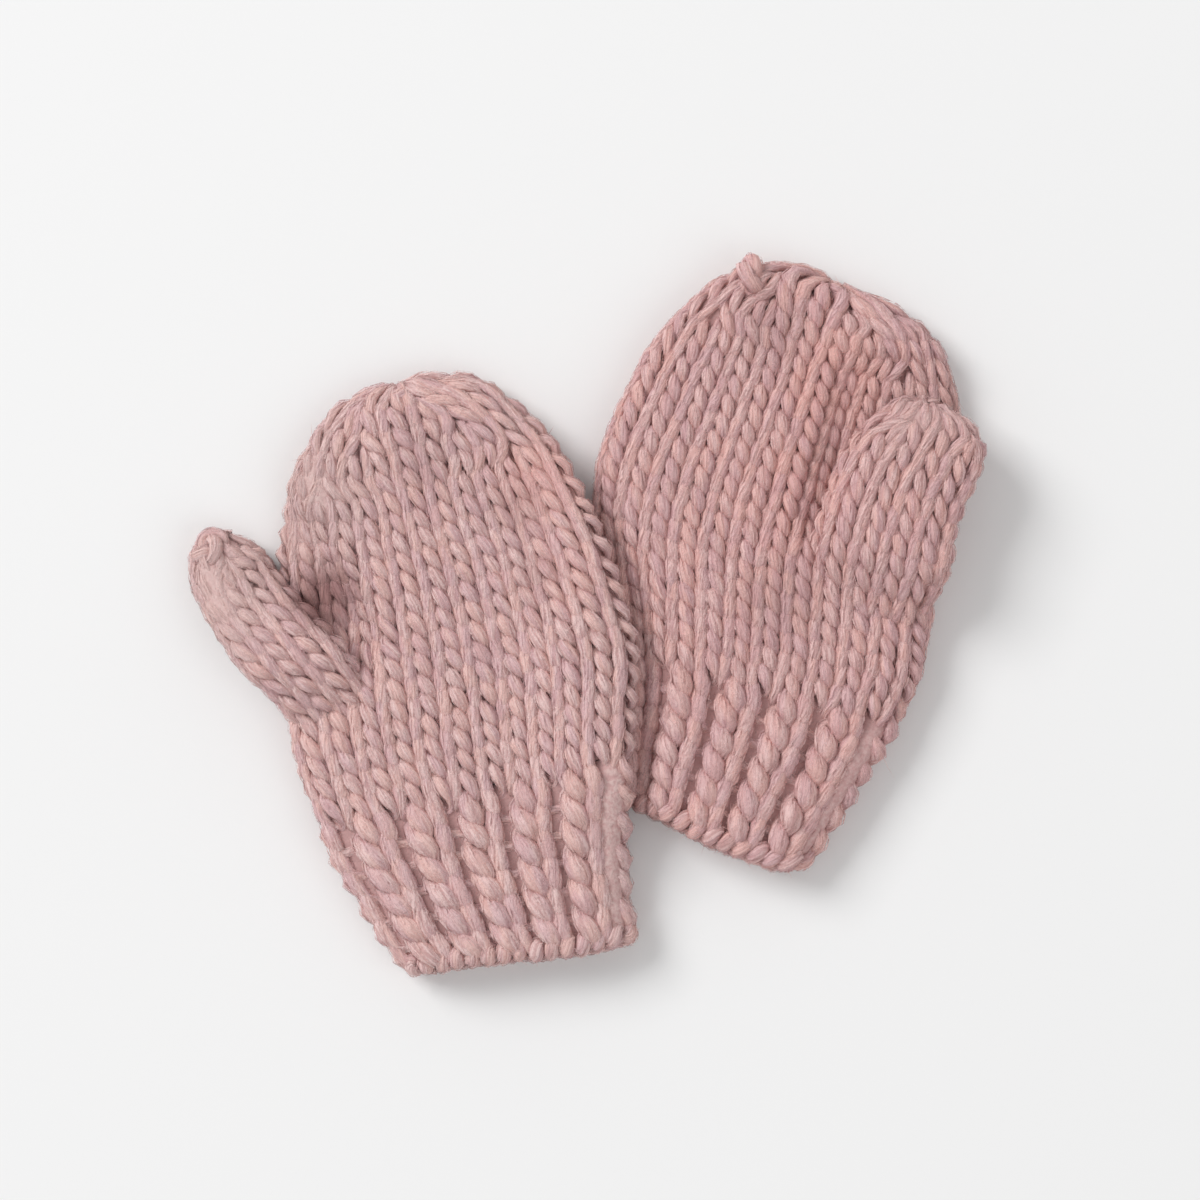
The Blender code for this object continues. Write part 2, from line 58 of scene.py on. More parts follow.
# the tubes, nearly as the solids have them: the palm under the right thumb is pressed down less, so
# that its yarn meets the thumb's
FOLD_SHARE = 0.4
UNDERSIDE_ROUNDING = 1.3
NARROW_HALF_WIDTH = 6.0
WIDE_HALF_WIDTH = 30.0
PRESSED_UNDER_MITTEN = 10.0
PRESSED_UNDER_LEFT_THUMB = 10.0
PRESSED_UNDER_RIGHT_THUMB = 11.5
OVERLAP_GAP = 0.4
OVERLAP_THINNING = 4.0
LIFT_RUN = (-22.0, 3.0)
PRESS_RUN = (-9.0, -1.0)
PRESS_EDGE = (0.82, 1.15)
SWING_TURNS = 0.375
SWING_REACH = 45.0
COURSE_BEND = math.radians(62)
FINE_RING = 360

# how the middle of the cloth closes at a tip: the last ring's size as a share of the course before
# it, how far it is drawn in, how many rings turn towards the tip, and how far they turn
TIP_SIZE = 0.3
TIP_DRAWN_IN = 0.6
TIP_RINGS = 4.0
TIP_TURN = 0.8

# how finely the middle of the cloth is worked out
AROUND = 192
ALONG = 150

# the yarn and its loops
YARN_RADIUS = 1.76
YARN_SIDES = 8
HALO_SIDES = 5
HALO_REACH = 0.5
LOOP_STEPS = 20
FLAT_SCALE = 1.05
DEEP_SCALE = 0.93
CLOTH_DEPTH = 2.55
HAND_REACH = 1.0
CUFF_REACH = 0.86
LOOP_DEPTH = 1.45
THUMB_LOOP_DEPTH = 1.2

# One loop from foot to foot: its place across in wales, its height in rows, its depth towards the
# outside as a share of the loops' depth, and its thickness. The left leg is a plump slanted grain,
# and the right legs run into one another as a cord.
Bend = namedtuple("Bend", "across height out thick")
LOOP = [
    Bend(across=-0.50, height=-0.93, out=-1.00, thick=0.70),
    Bend(across=-0.25, height=-0.93, out=-1.00, thick=0.70),
    Bend(across=-0.04, height=-0.77, out=-0.30, thick=0.56),
    Bend(across=-0.07, height=-0.42, out=0.62, thick=0.80),
    Bend(across=-0.22, height=0.00, out=1.10, thick=1.04),
    Bend(across=-0.37, height=0.40, out=0.75, thick=0.84),
    Bend(across=-0.47, height=0.75, out=-0.25, thick=0.58),
    Bend(across=-0.34, height=0.96, out=-1.00, thick=0.70),
    Bend(across=-0.05, height=1.00, out=-1.10, thick=0.72),
    Bend(across=0.15, height=0.99, out=-0.70, thick=0.60),
    Bend(across=0.23, height=0.84, out=0.10, thick=0.66),
    Bend(across=0.262, height=0.50, out=0.74, thick=0.88),
    Bend(across=0.29, height=0.00, out=0.88, thick=0.97),
    Bend(across=0.318, height=-0.50, out=0.78, thick=0.88),
    Bend(across=0.36, height=-0.84, out=0.20, thick=0.66),
]

# the thin cloth behind the loops
BACKING_AROUND = 96
BACKING_WALL = 0.8
FELT_RISE = 2.3
FELT_EDGE = (0.35, 1.1)

# the down: which roots face outside and up enough, and then each fibre's length and radius, its way
# along and out of the yarn, how far it strays, bends and droops, and how deep its root is sunk
DOWN_FACING = -0.1
DOWN_LEAST_RISE = -0.4
DOWN_LEAST_HEIGHT = 4.0
FIBRE_LENGTH = 1.5
FIBRE_LENGTH_SPREAD = 0.35
FIBRE_RADIUS = 0.065
FIBRE_RADIUS_SHARES = (0.6, 1.4)
FIBRE_TAPER = 0.75
FIBRE_ALONG = (0.4, 1.1)
FIBRE_OUT = (0.1, 0.7)
FIBRE_STRAY = 0.35
FIBRE_BEND = 0.4
FIBRE_DROOP = 0.2
FIBRE_SUNK = 0.1

# how softly the floor presses the underside flat
FLOOR_SOFTNESS = 0.5

# how far each loop is off true: its height, its row, its lean, its place across, its depth and its
# thickness
Loose = namedtuple("Loose", "tall row lean across out thick")
OFF_TRUE = Loose(tall=0.05, row=0.07, lean=0.04, across=0.05, out=0.22, thick=0.06)

# how far the yarn's fibres are twisted round it, in radians a millimetre
STRAND_TWIST = 0.12

# where the wales shift from the cuff's places to the hand's, along the mitten
SHIFT_RUN = (30.0, 75.0)

# the rows about the rib's end, or about the row where a wale ends, over which each change is eased
RIB_NARROWS = (-0.9, 0.3)
RIB_LENGTHENS = (-1.0, 0.0)
RIB_FLATTENS = (-1.1, -0.1)
DROP_NARROWS = (-0.9, 0.4)

# ribs of the cuffs: how much wider a knit wale and narrower a purled one is than an even one, how
# high a wale's middle rises and its edges sink, the power that squares its top, how much plumper
# the left legs, the right legs and the purled loops are, and how deep a purled loop is turned over
RIB_SWELL = 0.58
RIB_RISE = 0.3
RIB_EDGE = 1.3
RIB_ROUNDING = 0.6
RIB_PLUMP = 0.36
CORD_PLUMP = 0.12
PURL_PLUMP = 0.15
PURL_SHARE = 0.4

# the ribs are flatter at the folds: where these lie across the wales, how much, and how far about
FOLD_PLACE = 0.25
FOLD_EASE = 0.9
FOLD_REACH = 0.05

# the yarn is as thick as its loop has room: the room at which it has its own thickness, and the
# least and the most that it changes to
EVEN_ROOM = 7.4
ROOM_LIMITS = (0.74, 1.2)

# the cast-on edge: how far along its middle lies, its screw's reach along and out and thickness, how
# far these are off true, and its turns for each wale
EDGE_PLACE = 1.7
Screw = namedtuple("Screw", "high out thick")
EDGE_TURN = Screw(high=1.5, out=1.1, thick=1.0)
EDGE_OFF_TRUE = Screw(high=0.5, out=0.4, thick=0.1)
EDGE_TURNS = 1.25

# the knots: their steps, how far their ring swings in and out and up and down, their yarn's
# thickness as a share of their size, the level that sets their painted shade, and where the wool's
# pattern starts
KNOT_STEPS = 60
KNOT_SWING = 0.5
KNOT_THICK = 0.62
KNOT_LEVEL = 1.0
KNOT_OFFSET = -5000.0

# where the random draws of the cast-on edge, the knots and the down start, past those of the rows
EDGE_SEED = 1000
KNOT_SEED = 2000
DOWN_SEED = 100

# a wale narrower than this share of an even one has ended
LEAST_WALE = 0.55

# how high the middle of a soft patch of tone lies, and the share of its reach where it is full
TINT_HEIGHT = 13.0
TINT_FULL = 0.25

# how far one row's fibres are from the next one's in the wool's pattern
ROW_OFFSET = 1000.0

Place = namedtuple("Place", "x y lean")
LEFT_PLACE = Place(x=-16.1, y=-87.2, lean=12.3)
RIGHT_PLACE = Place(x=28.0, y=-53.6, lean=-15.2)

# One row for each course: its middle's place along, its two folds, and its underside and top.
Course = namedtuple("Course", "mid left_x left_y right_x right_y under top")

#             mid left_x left_y right_x right_y under top
LEFT_CUFF = [
    Course(  0.0, -29.0,   0.0,  29.5,   0.0,   0.0,  14.5),
    Course(  5.0, -31.5,   4.5,  29.8,   5.0,   0.0,  15.2),
    Course( 12.0, -34.8,  12.0,  30.7,  12.5,   0.0,  15.5),
    Course( 20.0, -37.5,  20.0,  32.0,  20.0,   0.0,  15.5),
    Course( 28.0, -40.8,  28.5,  34.5,  28.5,   0.0,  15.5),
    Course( 36.0, -43.2,  37.0,  37.3,  37.0,   0.0,  15.5),
]
LEFT_HAND = [
    Course( 45.0, -44.0,  46.0,  39.5,  46.0,   0.0,  15.5),
    Course( 57.0, -46.0,  58.0,  42.8,  58.0,   0.0,  15.5),
    Course( 69.0, -46.2,  71.0,  46.0,  71.0,   0.0,  15.5),
    Course( 80.0, -45.0,  83.0,  46.4,  83.0,   0.0,  15.5),
    Course( 91.0, -43.0,  95.0,  45.0,  95.0,   0.0,  15.5),
    Course(101.0, -41.0, 106.0,  43.0, 106.0,   0.0,  15.5),
    Course(110.0, -39.8, 114.5,  40.8, 115.0,   0.0,  15.5),
    Course(119.0, -36.6, 123.5,  37.2, 126.0,   0.0,  15.3),
    Course(127.0, -32.3, 132.2,  33.0, 134.0,   0.0,  15.0),
    Course(134.0, -27.2, 139.6,  27.5, 141.5,   0.0,  14.5),
    Course(140.0, -20.6, 146.2,  20.5, 148.2,   0.0,  13.5),
    Course(145.0, -12.0, 150.8,  11.5, 151.4,   0.0,  12.0),
    Course(148.5,  -4.5, 152.0,   4.5, 152.3,   1.5,  10.5),
]
LEFT_THUMB = [
    Course( 69.0, -44.0,  68.0, -20.0,  70.0,   0.8,  13.5),
    Course( 78.0, -49.0,  78.0, -23.5,  79.0,   5.5,  18.0),
    Course( 86.0, -54.5,  86.5, -26.5,  87.5,   8.6,  21.2),
    Course( 94.5, -58.5,  95.5, -31.3,  96.0,   7.8,  20.8),
    Course(103.0, -61.6, 104.5, -36.6, 103.5,   4.4,  18.0),
    Course(110.0, -63.1, 111.5, -40.2, 110.5,   1.0,  15.0),
    Course(115.8, -62.2, 118.0, -42.8, 116.2,   0.0,  14.0),
    Course(120.6, -60.0, 122.6, -47.3, 121.6,   0.0,  12.0),
]
RIGHT_CUFF = [
    Course( -2.0, -29.0,   3.5,  30.3,  -2.5,   0.0,  14.5),
    Course(  4.0, -31.0,   8.5,  33.0,   4.0,   0.0,  15.2),
    Course( 12.0, -33.0,  15.5,  36.0,  13.0,   0.0,  15.5),
    Course( 21.0, -35.2,  23.5,  39.0,  22.0,   0.0,  15.5),
    Course( 31.0, -38.0,  32.5,  42.0,  31.5,   0.0,  15.5),
]
RIGHT_HAND = [
    Course( 41.0, -41.1,  42.0,  44.3,  41.5,   0.0,  15.5),
    Course( 52.0, -44.3,  53.5,  46.0,  53.0,   0.0,  15.5),
    Course( 63.0, -46.8,  65.0,  45.2,  64.0,   0.0,  15.5),
    Course( 73.0, -48.2,  75.5,  44.0,  74.5,   0.0,  15.5),
    Course( 83.0, -48.5,  85.5,  43.6,  85.0,   0.0,  15.5),
    Course( 92.0, -47.8,  95.0,  43.0,  95.0,   0.0,  15.5),
    Course(101.0, -46.3, 104.0,  42.0, 104.0,   0.0,  15.5),
    Course(109.0, -44.5, 112.5,  40.5, 112.5,   0.0,  15.5),
    Course(117.0, -41.2, 121.5,  38.0, 121.0,   0.0,  15.3),
    Course(124.5, -36.8, 129.5,  34.0, 128.8,   0.0,  15.0),
    Course(131.0, -31.3, 137.5,  28.5, 135.9,   0.0,  14.5),
    Course(137.0, -23.0, 144.0,  20.5, 141.0,   0.0,  13.5),
    Course(141.5, -12.5, 146.8,  11.0, 143.6,   0.0,  12.0),
    Course(144.0,  -5.0, 147.2,   4.5, 145.0,   1.5,  10.5),
]
RIGHT_THUMB = [
    Course( 60.0,  14.5,  60.5,  42.0,  60.5,   1.2,  12.6),
    Course( 69.5,  11.8,  70.5,  44.4,  71.0,   5.0,  18.0),
    Course( 78.5,   9.0,  79.5,  46.0,  79.5,  10.8,  23.4),
    Course( 88.0,   9.4,  89.0,  45.3,  89.0,  10.8,  24.0),
    Course( 97.0,  10.4,  98.0,  45.4,  98.0,  10.8,  24.0),
    Course(105.0,  12.3, 106.3,  47.0, 106.0,  10.8,  23.8),
    Course(112.0,  16.0, 113.2,  46.4, 112.6,  10.8,  22.8),
    Course(117.0,  19.8, 118.6,  42.6, 117.7,  10.9,  20.5),
    Course(120.2,  24.0, 121.8,  36.5, 120.8,  11.3,  18.5),
]

# Where a tube's last course is drawn together.
Tip = namedtuple("Tip", "x y z")
LEFT_HAND_TIP = Tip(x=0.0, y=152.0, z=6.5)
RIGHT_HAND_TIP = Tip(x=0.0, y=146.4, z=6.5)
LEFT_THUMB_TIP = Tip(x=-55.5, y=125.4, z=6.0)
RIGHT_THUMB_TIP = Tip(x=30.0, y=122.6, z=15.0)

# Where a thumb presses the hand under it: a rounded oblong, with its sizes from its middle.
Pressed = namedtuple("Pressed", "x y half_x half_y lean")
UNDER_LEFT_THUMB = Pressed(x=-41.0, y=101.5, half_x=18.5, half_y=26.0, lean=20.0)
UNDER_RIGHT_THUMB = Pressed(x=28.5, y=102.5, half_x=23.5, half_y=28.6, lean=0.0)

LEFT_EDGE_SWING = 1.8
RIGHT_EDGE_SWING = 1.2


# the tubes that the solids are made from


def smoothstep(low, high, value):
    """0 below low and 1 above high, with an even ease between them."""
    share = np.clip((value - low) / (high - low), 0.0, 1.0)
    return share * share * (3 - 2 * share)


def unit(vectors):
    """Vectors brought to length one."""
    return vectors / np.maximum(np.linalg.norm(vectors, axis=-1, keepdims=True), 1e-9)


def to_world(place, x, y):
    """A mitten's own x and y on the surface it lies on."""
    lean = math.radians(place.lean)
    across, along = math.cos(lean), math.sin(lean)
    return place.x + x * across - y * along, place.y + x * along + y * across


def to_mitten(place, x, y):
    """A place on the surface in the own x and y of a mitten, or of a leaning patch on it."""
    lean = math.radians(place.lean)
    across, along = math.cos(lean), math.sin(lean)
    dx, dy = x - place.x, y - place.y
    return dx * across + dy * along, dy * across - dx * along


def cubic(a, b, c, d, t):
    """A smooth cubic curve from b to c, whose slope at each is half its neighbours' difference."""
    return b + 0.5 * t * (c - a + t * (2 * a - 5 * b + 4 * c - d + t * (3 * (b - c) + d - a)))


def smooth_courses(table, count):
    """count courses spread evenly along a table, on smooth cubic curves through its rows."""
    rows = np.array(table, float)
    at = np.linspace(0, len(rows) - 1, count)
    start = np.minimum(at.astype(int), len(rows) - 2)
    t = (at - start)[:, None]
    before = rows[np.maximum(start - 1, 0)]
    here, there = rows[start], rows[start + 1]
    after = rows[np.minimum(start + 2, len(rows) - 1)]
    courses = [Course(*row) for row in cubic(before, here, there, after, t)]
    return [course._replace(under=max(0.0, course.under)) for course in courses]


def across_course(course, s):
    """x and y along a course, with s from -1 at its left fold to 1 at its right one."""
    across = np.sin(COURSE_BEND * s) / math.sin(COURSE_BEND)
    share = (across + 1) / 2
    dip = (np.cos(COURSE_BEND * s) - math.cos(COURSE_BEND)) / (1 - math.cos(COURSE_BEND))
    sag = (course.left_y + course.right_y) / 2 - course.mid
    x = course.left_x + (course.right_x - course.left_x) * share
    y = course.left_y + (course.right_y - course.left_y) * share - dip * sag
    return x, y


def flat_section(half_width):
    """s and height share round a tube laid flat, over the front from right to left and back under."""
    wide = (half_width - NARROW_HALF_WIDTH) / (WIDE_HALF_WIDTH - NARROW_HALF_WIDTH)
    power = 2.0 + min(1.0, max(0.0, wide))
    turn = np.linspace(0, TURN, FINE_RING, endpoint=False)
    along, up = np.cos(turn), np.sin(turn)
    s = np.sign(along) * np.abs(along) ** (2 / power)
    rise = np.abs(up) ** (2 / power)
    front = FOLD_SHARE + (1 - FOLD_SHARE) * rise
    under = FOLD_SHARE * (1 - np.minimum(1.0, UNDERSIDE_ROUNDING * rise))
    return s, np.where(up >= 0, front, under)


def evenly_round(ring, count):
    """count points spaced evenly round a closed ring, the first one kept."""
    closed = np.vstack([ring, ring[:1]])
    steps = np.linalg.norm(np.diff(closed, axis=0), axis=1)
    length = np.concatenate([[0.0], np.cumsum(steps)])
    wanted = np.linspace(0, length[-1], count, endpoint=False)
    return np.column_stack([np.interp(wanted, length, closed[:, i]) for i in range(3)])


def pressed_share(pressed, x, y):
    """How far a thumb presses the hand at a place, from 0 to 1."""
    across, along = to_mitten(pressed, x, y)
    out = (np.abs(across / pressed.half_x) ** 4 + np.abs(along / pressed.half_y) ** 4) ** 0.25
    return 1 - smoothstep(*PRESS_EDGE, out)


def pressed_to(lowest, share, height):
    """A height brought down towards a lowest one by a share of the way."""
    return height + (np.minimum(height, lowest) - height) * share


def right_side_depth(x, y):
    """How far a place lies inside the left mitten's right side, in its own frame."""
    rows = LEFT_CUFF + LEFT_HAND
    side = np.interp(y, [row.right_y for row in rows], [row.right_x for row in rows])
    return side - x


def left_corner_depth(x, y):
    """How far a place lies inside the right mitten's left side and cuff edge, in its own frame."""
    rows = RIGHT_CUFF + RIGHT_HAND
    side = np.interp(y, [row.left_y for row in rows], [row.left_x for row in rows])
    inward, upward = x - side, y - RIGHT_CUFF[0].left_y
    inside = np.minimum(inward, upward)
    outside = -np.hypot(np.minimum(inward, 0.0), np.minimum(upward, 0.0))
    return np.where(inside > 0, inside, outside)


def left_levels(course, x, y):
    """The underside and the height of the left mitten's cuff or hand at a place."""
    corner = to_mitten(RIGHT_PLACE, *to_world(LEFT_PLACE, x, y))
    lift = smoothstep(*LIFT_RUN, left_corner_depth(*corner))
    height = course.top - course.under - OVERLAP_THINNING * lift
    height = pressed_to(PRESSED_UNDER_LEFT_THUMB, pressed_share(UNDER_LEFT_THUMB, x, y), height)
    return course.under + (PRESSED_UNDER_MITTEN + OVERLAP_GAP) * lift, height


def right_levels(course, x, y):
    """The underside and the height of the right mitten's cuff or hand at a place."""
    height = np.full_like(x, course.top - course.under)
    side = to_mitten(LEFT_PLACE, *to_world(RIGHT_PLACE, x, y))
    under_left = smoothstep(*PRESS_RUN, right_side_depth(*side))
    height = pressed_to(PRESSED_UNDER_MITTEN, under_left, height)
    height = pressed_to(PRESSED_UNDER_RIGHT_THUMB, pressed_share(UNDER_RIGHT_THUMB, x, y), height)
    return np.full_like(x, course.under), height


def thumb_levels(course, x, y):
    """The underside and the height of a thumb."""
    return np.full_like(x, course.under), np.full_like(x, course.top - course.under)


# the middle of the cloth


def faced(points):
    """Outward directions over a grid of rings: the way along crossed with the way round."""
    round_way = np.roll(points, -1, axis=1) - np.roll(points, 1, axis=1)
    along_way = np.gradient(points, axis=0)
    return unit(np.cross(along_way, round_way))


class Tube:
    """The middle of a tube's cloth, as rings of points that are even round each course.

    A place on it is a share u of the way round, from its right fold over its front to its left fold
    and back under it, and the place y of its course's middle along the mitten.
    """

    def __init__(self, table, tip, levels, swing, place):
        courses = smooth_courses(table, ALONG)
        rings = []
        for course in courses:
            s, share = flat_section((course.right_x - course.left_x) / 2)
            x, y = across_course(course, s)
            under, height = levels(course, x, y)
            reach = max(0.0, 1 - (course.mid - courses[0].mid) / SWING_REACH) ** 2
            y = y - reach * swing * np.sin(TURN * SWING_TURNS * s)
            rings.append(evenly_round(np.column_stack([x, y, under + height * share]), AROUND))
        middle = np.mean(rings[-1], axis=0)
        small = middle + (rings[-1] - middle) * TIP_SIZE
        small[:, 1] = (2 * tip.y + small[:, 1]) / 3
        outer = np.array(rings + [small])
        inset = outer - faced(outer) * CLOTH_DEPTH
        inset[-1] = inset[-2] + (np.mean(inset[-2], axis=0) - inset[-2]) * TIP_DRAWN_IN
        inset[-1, :, 1] = tip.y - CLOTH_DEPTH
        self.place = place
        self.points = np.array([evenly_round(ring, AROUND) for ring in inset])
        self.normals = faced(self.points)
        toward_tip = smoothstep(-TIP_RINGS, 0.0, np.arange(len(outer)) - (len(outer) - 1.0))
        ahead = np.array([0.0, 1.0, 0.0])
        lean = toward_tip[:, None, None] * TIP_TURN
        self.normals = unit(self.normals * (1 - lean) + ahead * lean)
        self.along = np.array([course.mid for course in courses] + [(courses[-1].mid + tip.y) / 2])
        self.front = np.array([self.front_middle(ring) for ring in self.points])

    def front_middle(self, ring):
        """The share of the way round at which a ring's front crosses its middle."""
        half = AROUND // 2
        x = ring[:half, 0]
        centre = (ring[:, 0].max() + ring[:, 0].min()) / 2
        return np.interp(-centre, -x, np.arange(half) / AROUND)

    def at(self, u, y):
        """Points and outward directions at shares round and places along, evenly between the grid's."""
        k = np.interp(y, self.along, np.arange(len(self.along)))
        low = np.minimum(k.astype(int), len(self.along) - 2)
        up = (k - low)[..., None]
        spot = np.mod(u, 1.0) * AROUND
        left = spot.astype(int) % AROUND
        right = (left + 1) % AROUND
        way = (spot - np.floor(spot))[..., None]

        def between(grid):
            here = grid[low, left] * (1 - way) + grid[low, right] * way
            there = grid[low + 1, left] * (1 - way) + grid[low + 1, right] * way
            return here * (1 - up) + there * up

        return between(self.points), unit(between(self.normals))

    def front_at(self, y):
        """The share of the way round at the middle of the front, at places along."""
        return np.interp(y, self.along, self.front)

    def world(self, points):
        """Points in a mitten's frame given in world place and in metres."""
        x, y = to_world(self.place, points[..., 0], points[..., 1])
        return np.stack([x, y, points[..., 2]], axis=-1) * MM


# Where the wool has felted and the cloth has come up between the stitches: rounded places in the
# mitten's own frame, with how far the felt has come up as a share.
Felted = namedtuple("Felted", "x y half_x half_y lean share")
LEFT_FELT = (
    Felted(x=-31.0, y=126.0, half_x=13.0, half_y=22.0, lean=-24.0, share=1.0),
    Felted(x=-22.0, y=97.0, half_x=7.0, half_y=14.0, lean=0.0, share=0.35),
    Felted(x=28.8, y=22.0, half_x=6.0, half_y=34.0, lean=-12.0, share=0.9),
)
LEFT_THUMB_FELT = (
    Felted(x=-60.0, y=109.0, half_x=11.0, half_y=22.0, lean=22.0, share=1.0),
    Felted(x=-52.0, y=118.0, half_x=9.0, half_y=9.0, lean=0.0, share=0.8),
)
RIGHT_FELT = (
    Felted(x=6.0, y=104.0, half_x=6.0, half_y=22.0, lean=0.0, share=0.6),
    Felted(x=-30.0, y=132.0, half_x=10.0, half_y=9.0, lean=-30.0, share=0.4),
    Felted(x=34.2, y=17.0, half_x=6.0, half_y=30.0, lean=-14.0, share=0.9),
)
RIGHT_THUMB_FELT = (
    Felted(x=27.0, y=116.5, half_x=17.0, half_y=7.5, lean=0.0, share=1.0),
    Felted(x=11.0, y=96.0, half_x=6.5, half_y=20.0, lean=0.0, share=0.9),
    Felted(x=42.0, y=80.0, half_x=6.0, half_y=9.0, lean=0.0, share=0.7),
)


def felted_share(patches, x, y):
    """How far the felt has come up at a place, from 0 to 1: the greatest of the patches' shares."""
    risen = np.zeros_like(x)
    for patch in patches:
        across, along = to_mitten(patch, x, y)
        out = np.hypot(across / patch.half_x, along / patch.half_y)
        risen = np.maximum(risen, patch.share * (1 - smoothstep(*FELT_EDGE, out)))
    return risen


# knitting


# A tube's knitting: its wales, the places of its rows along, how many of them are ribbed (below 0 for
# none, clear of its first row), its drops as the row and the wales that end there, where wale 0
# stands against the front's middle at the start and end, how far its middle wales spread at the
# crown and from where to where along that comes, how far its courses rise at the right fold and
# from where to where that fades, its loops' depth, the place of its tip, and where its random draws
# start. Spread is given as from, to and how far, and rise as how far, from and to.
Knitting = namedtuple("Knitting", "wales rows ribbed drops shift spread rise depth last seed")


def ribbed_share(knitting, ending, v):
    """1 in the ribbed rows and 0 in the plain ones, with an even ease over the rows of an ending."""
    return 1 - smoothstep(knitting.ribbed + ending[0], knitting.ribbed + ending[1], v)


def wale_edges(knitting, v):
    """Places of the wales' edges at a row v: the sum of the widths of those before, shared out evenly."""
    wales = knitting.wales
    number = np.arange(wales) - wales // 2
    v = np.asarray(v, float)[..., None]
    rib = ribbed_share(knitting, RIB_NARROWS, v)
    sign = np.where(number % 2 == 0, 1.0, -1.0)
    width = 1 + RIB_SWELL * sign * rib
    for row, ended in knitting.drops:
        gone = np.isin(number, ended)
        narrowed = 1 - smoothstep(row + DROP_NARROWS[0], row + DROP_NARROWS[1], v)
        width = width * np.where(gone, narrowed, 1.0)
    edges = np.concatenate([np.zeros_like(width[..., :1]), np.cumsum(width, axis=-1)], axis=-1)
    middle = wales // 2
    centre = edges[..., middle:middle + 1] + width[..., middle:middle + 1] / 2
    return (edges - centre) / edges[..., -1:]


def share_round(tube, knitting, edge, v):
    """The share of the way round for a place across the wales: spread at the crown, shifted, turned."""
    y = row_place(knitting, v)
    crown = smoothstep(knitting.spread[0], knitting.spread[1], y)
    spread = knitting.spread[2] * crown
    edge = edge + spread * np.sin(2 * TURN * edge) / (2 * TURN)
    at_cuff, at_hand = knitting.shift
    shift = at_cuff + (at_hand - at_cuff) * smoothstep(*SHIFT_RUN, y)
    return tube.front_at(y) - edge - shift / knitting.wales


def row_place(knitting, v):
    """The place along the mitten of a row, whole or not, carried on past both ends."""
    rows = knitting.rows
    index = np.arange(-1, len(rows) + 1)
    places = np.concatenate([[2 * rows[0] - rows[1]], rows, [knitting.last]])
    return np.interp(v, index, places)


def blended(values, t):
    """A value for each stitch, eased into the next stitch's along the yarn."""
    following = np.roll(values, -1)
    share = smoothstep(0.0, TURN, t)[None, :]
    return values[:, None] * (1 - share) + following[:, None] * share


def loop_bends():
    """The loop's table on smooth cubic curves, in even steps from one foot to just before the next."""
    rows = np.array(LOOP, float)
    onward = rows[:3] + np.array([1.0, 0.0, 0.0, 0.0])
    before = rows[-1:] - np.array([1.0, 0.0, 0.0, 0.0])
    knots = np.vstack([before, rows, onward])
    at = np.arange(LOOP_STEPS) * len(rows) / LOOP_STEPS
    k = at.astype(int)
    t = (at - k)[:, None]
    return cubic(knots[k], knots[k + 1], knots[k + 2], knots[k + 3], t)


def knitted_row(tube, knitting, row, random):
    """The yarn's middle, outward directions and radius for one row, by stitch and step.

    Each loop is the loop's table, its place across shared out between its wale's edges, its height
    in rows above its own, and its depth turned over in the wales that are purled. Every loop is a
    little off true, by amounts that ease into the next loop's along the yarn.
    """
    wales = knitting.wales
    number = np.arange(wales) - wales // 2
    t = np.linspace(0, TURN, LOOP_STEPS, endpoint=False)
    loop_across, loop_height, loop_out, loop_thick = loop_bends().T[:, None, :]
    reach = HAND_REACH + (CUFF_REACH - HAND_REACH) * ribbed_share(knitting, RIB_LENGTHENS, float(row))
    jitter = random.uniform(-1, 1, (6, wales))
    off = Loose(*[size * blended(part, t) for size, part in zip(OFF_TRUE, jitter)])
    height = reach * loop_height * (1 + off.tall)
    v = row + height + off.row
    across = loop_across + 0.5
    edges = wale_edges(knitting, v)
    index = np.arange(wales)[:, None]
    step = np.arange(LOOP_STEPS)[None, :]
    low, high = edges[index, step, index], edges[index, step, index + 1]
    edge = low + (high - low) * (across - off.lean * height + off.across)
    y = row_place(knitting, v)
    high_side, fades_from, fades_to = knitting.rise
    y = y + high_side * np.sin(TURN * edge) * (1 - smoothstep(fades_from, fades_to, y))
    points, normals = tube.at(share_round(tube, knitting, edge, v), y)
    inner = across - 0.5
    window = np.clip(np.cos(math.pi * np.clip(inner, -0.5, 0.5)), 0.0, 1.0) ** RIB_ROUNDING
    from_fold = (np.abs((low + high) / 2) - FOLD_PLACE) / FOLD_REACH
    rib = ribbed_share(knitting, RIB_FLATTENS, v)
    eased = 1 - FOLD_EASE * np.exp(-from_fold**2)
    purl = (number % 2 != 0)[:, None]
    turned = rib * np.where(purl, eased, 1.0)
    facing = 1 + turned * (np.where(purl, -PURL_SHARE * window, window) - 1)
    rise = (RIB_RISE * window - RIB_EDGE * (1 - window)) * rib * eased
    depth = knitting.depth * loop_out * facing + rise + off.out
    plump = loop_thick * (1 + off.thick)
    swollen = np.where(inner < 0, RIB_PLUMP, CORD_PLUMP)
    plump = plump * (1 + np.where(purl, PURL_PLUMP, swollen) * turned * window)
    live = np.diff(wale_edges(knitting, float(row))) * wales > LEAST_WALE
    sides = [tube.at(share_round(tube, knitting, side, v), y)[0] for side in (low, high)]
    room = np.linalg.norm(sides[1] - sides[0], axis=-1) / EVEN_ROOM
    plump = plump * np.clip(room, *ROOM_LIMITS)
    points = points + normals * depth[..., None]
    return points[live], normals[live], (YARN_RADIUS * plump)[live], depth[live]


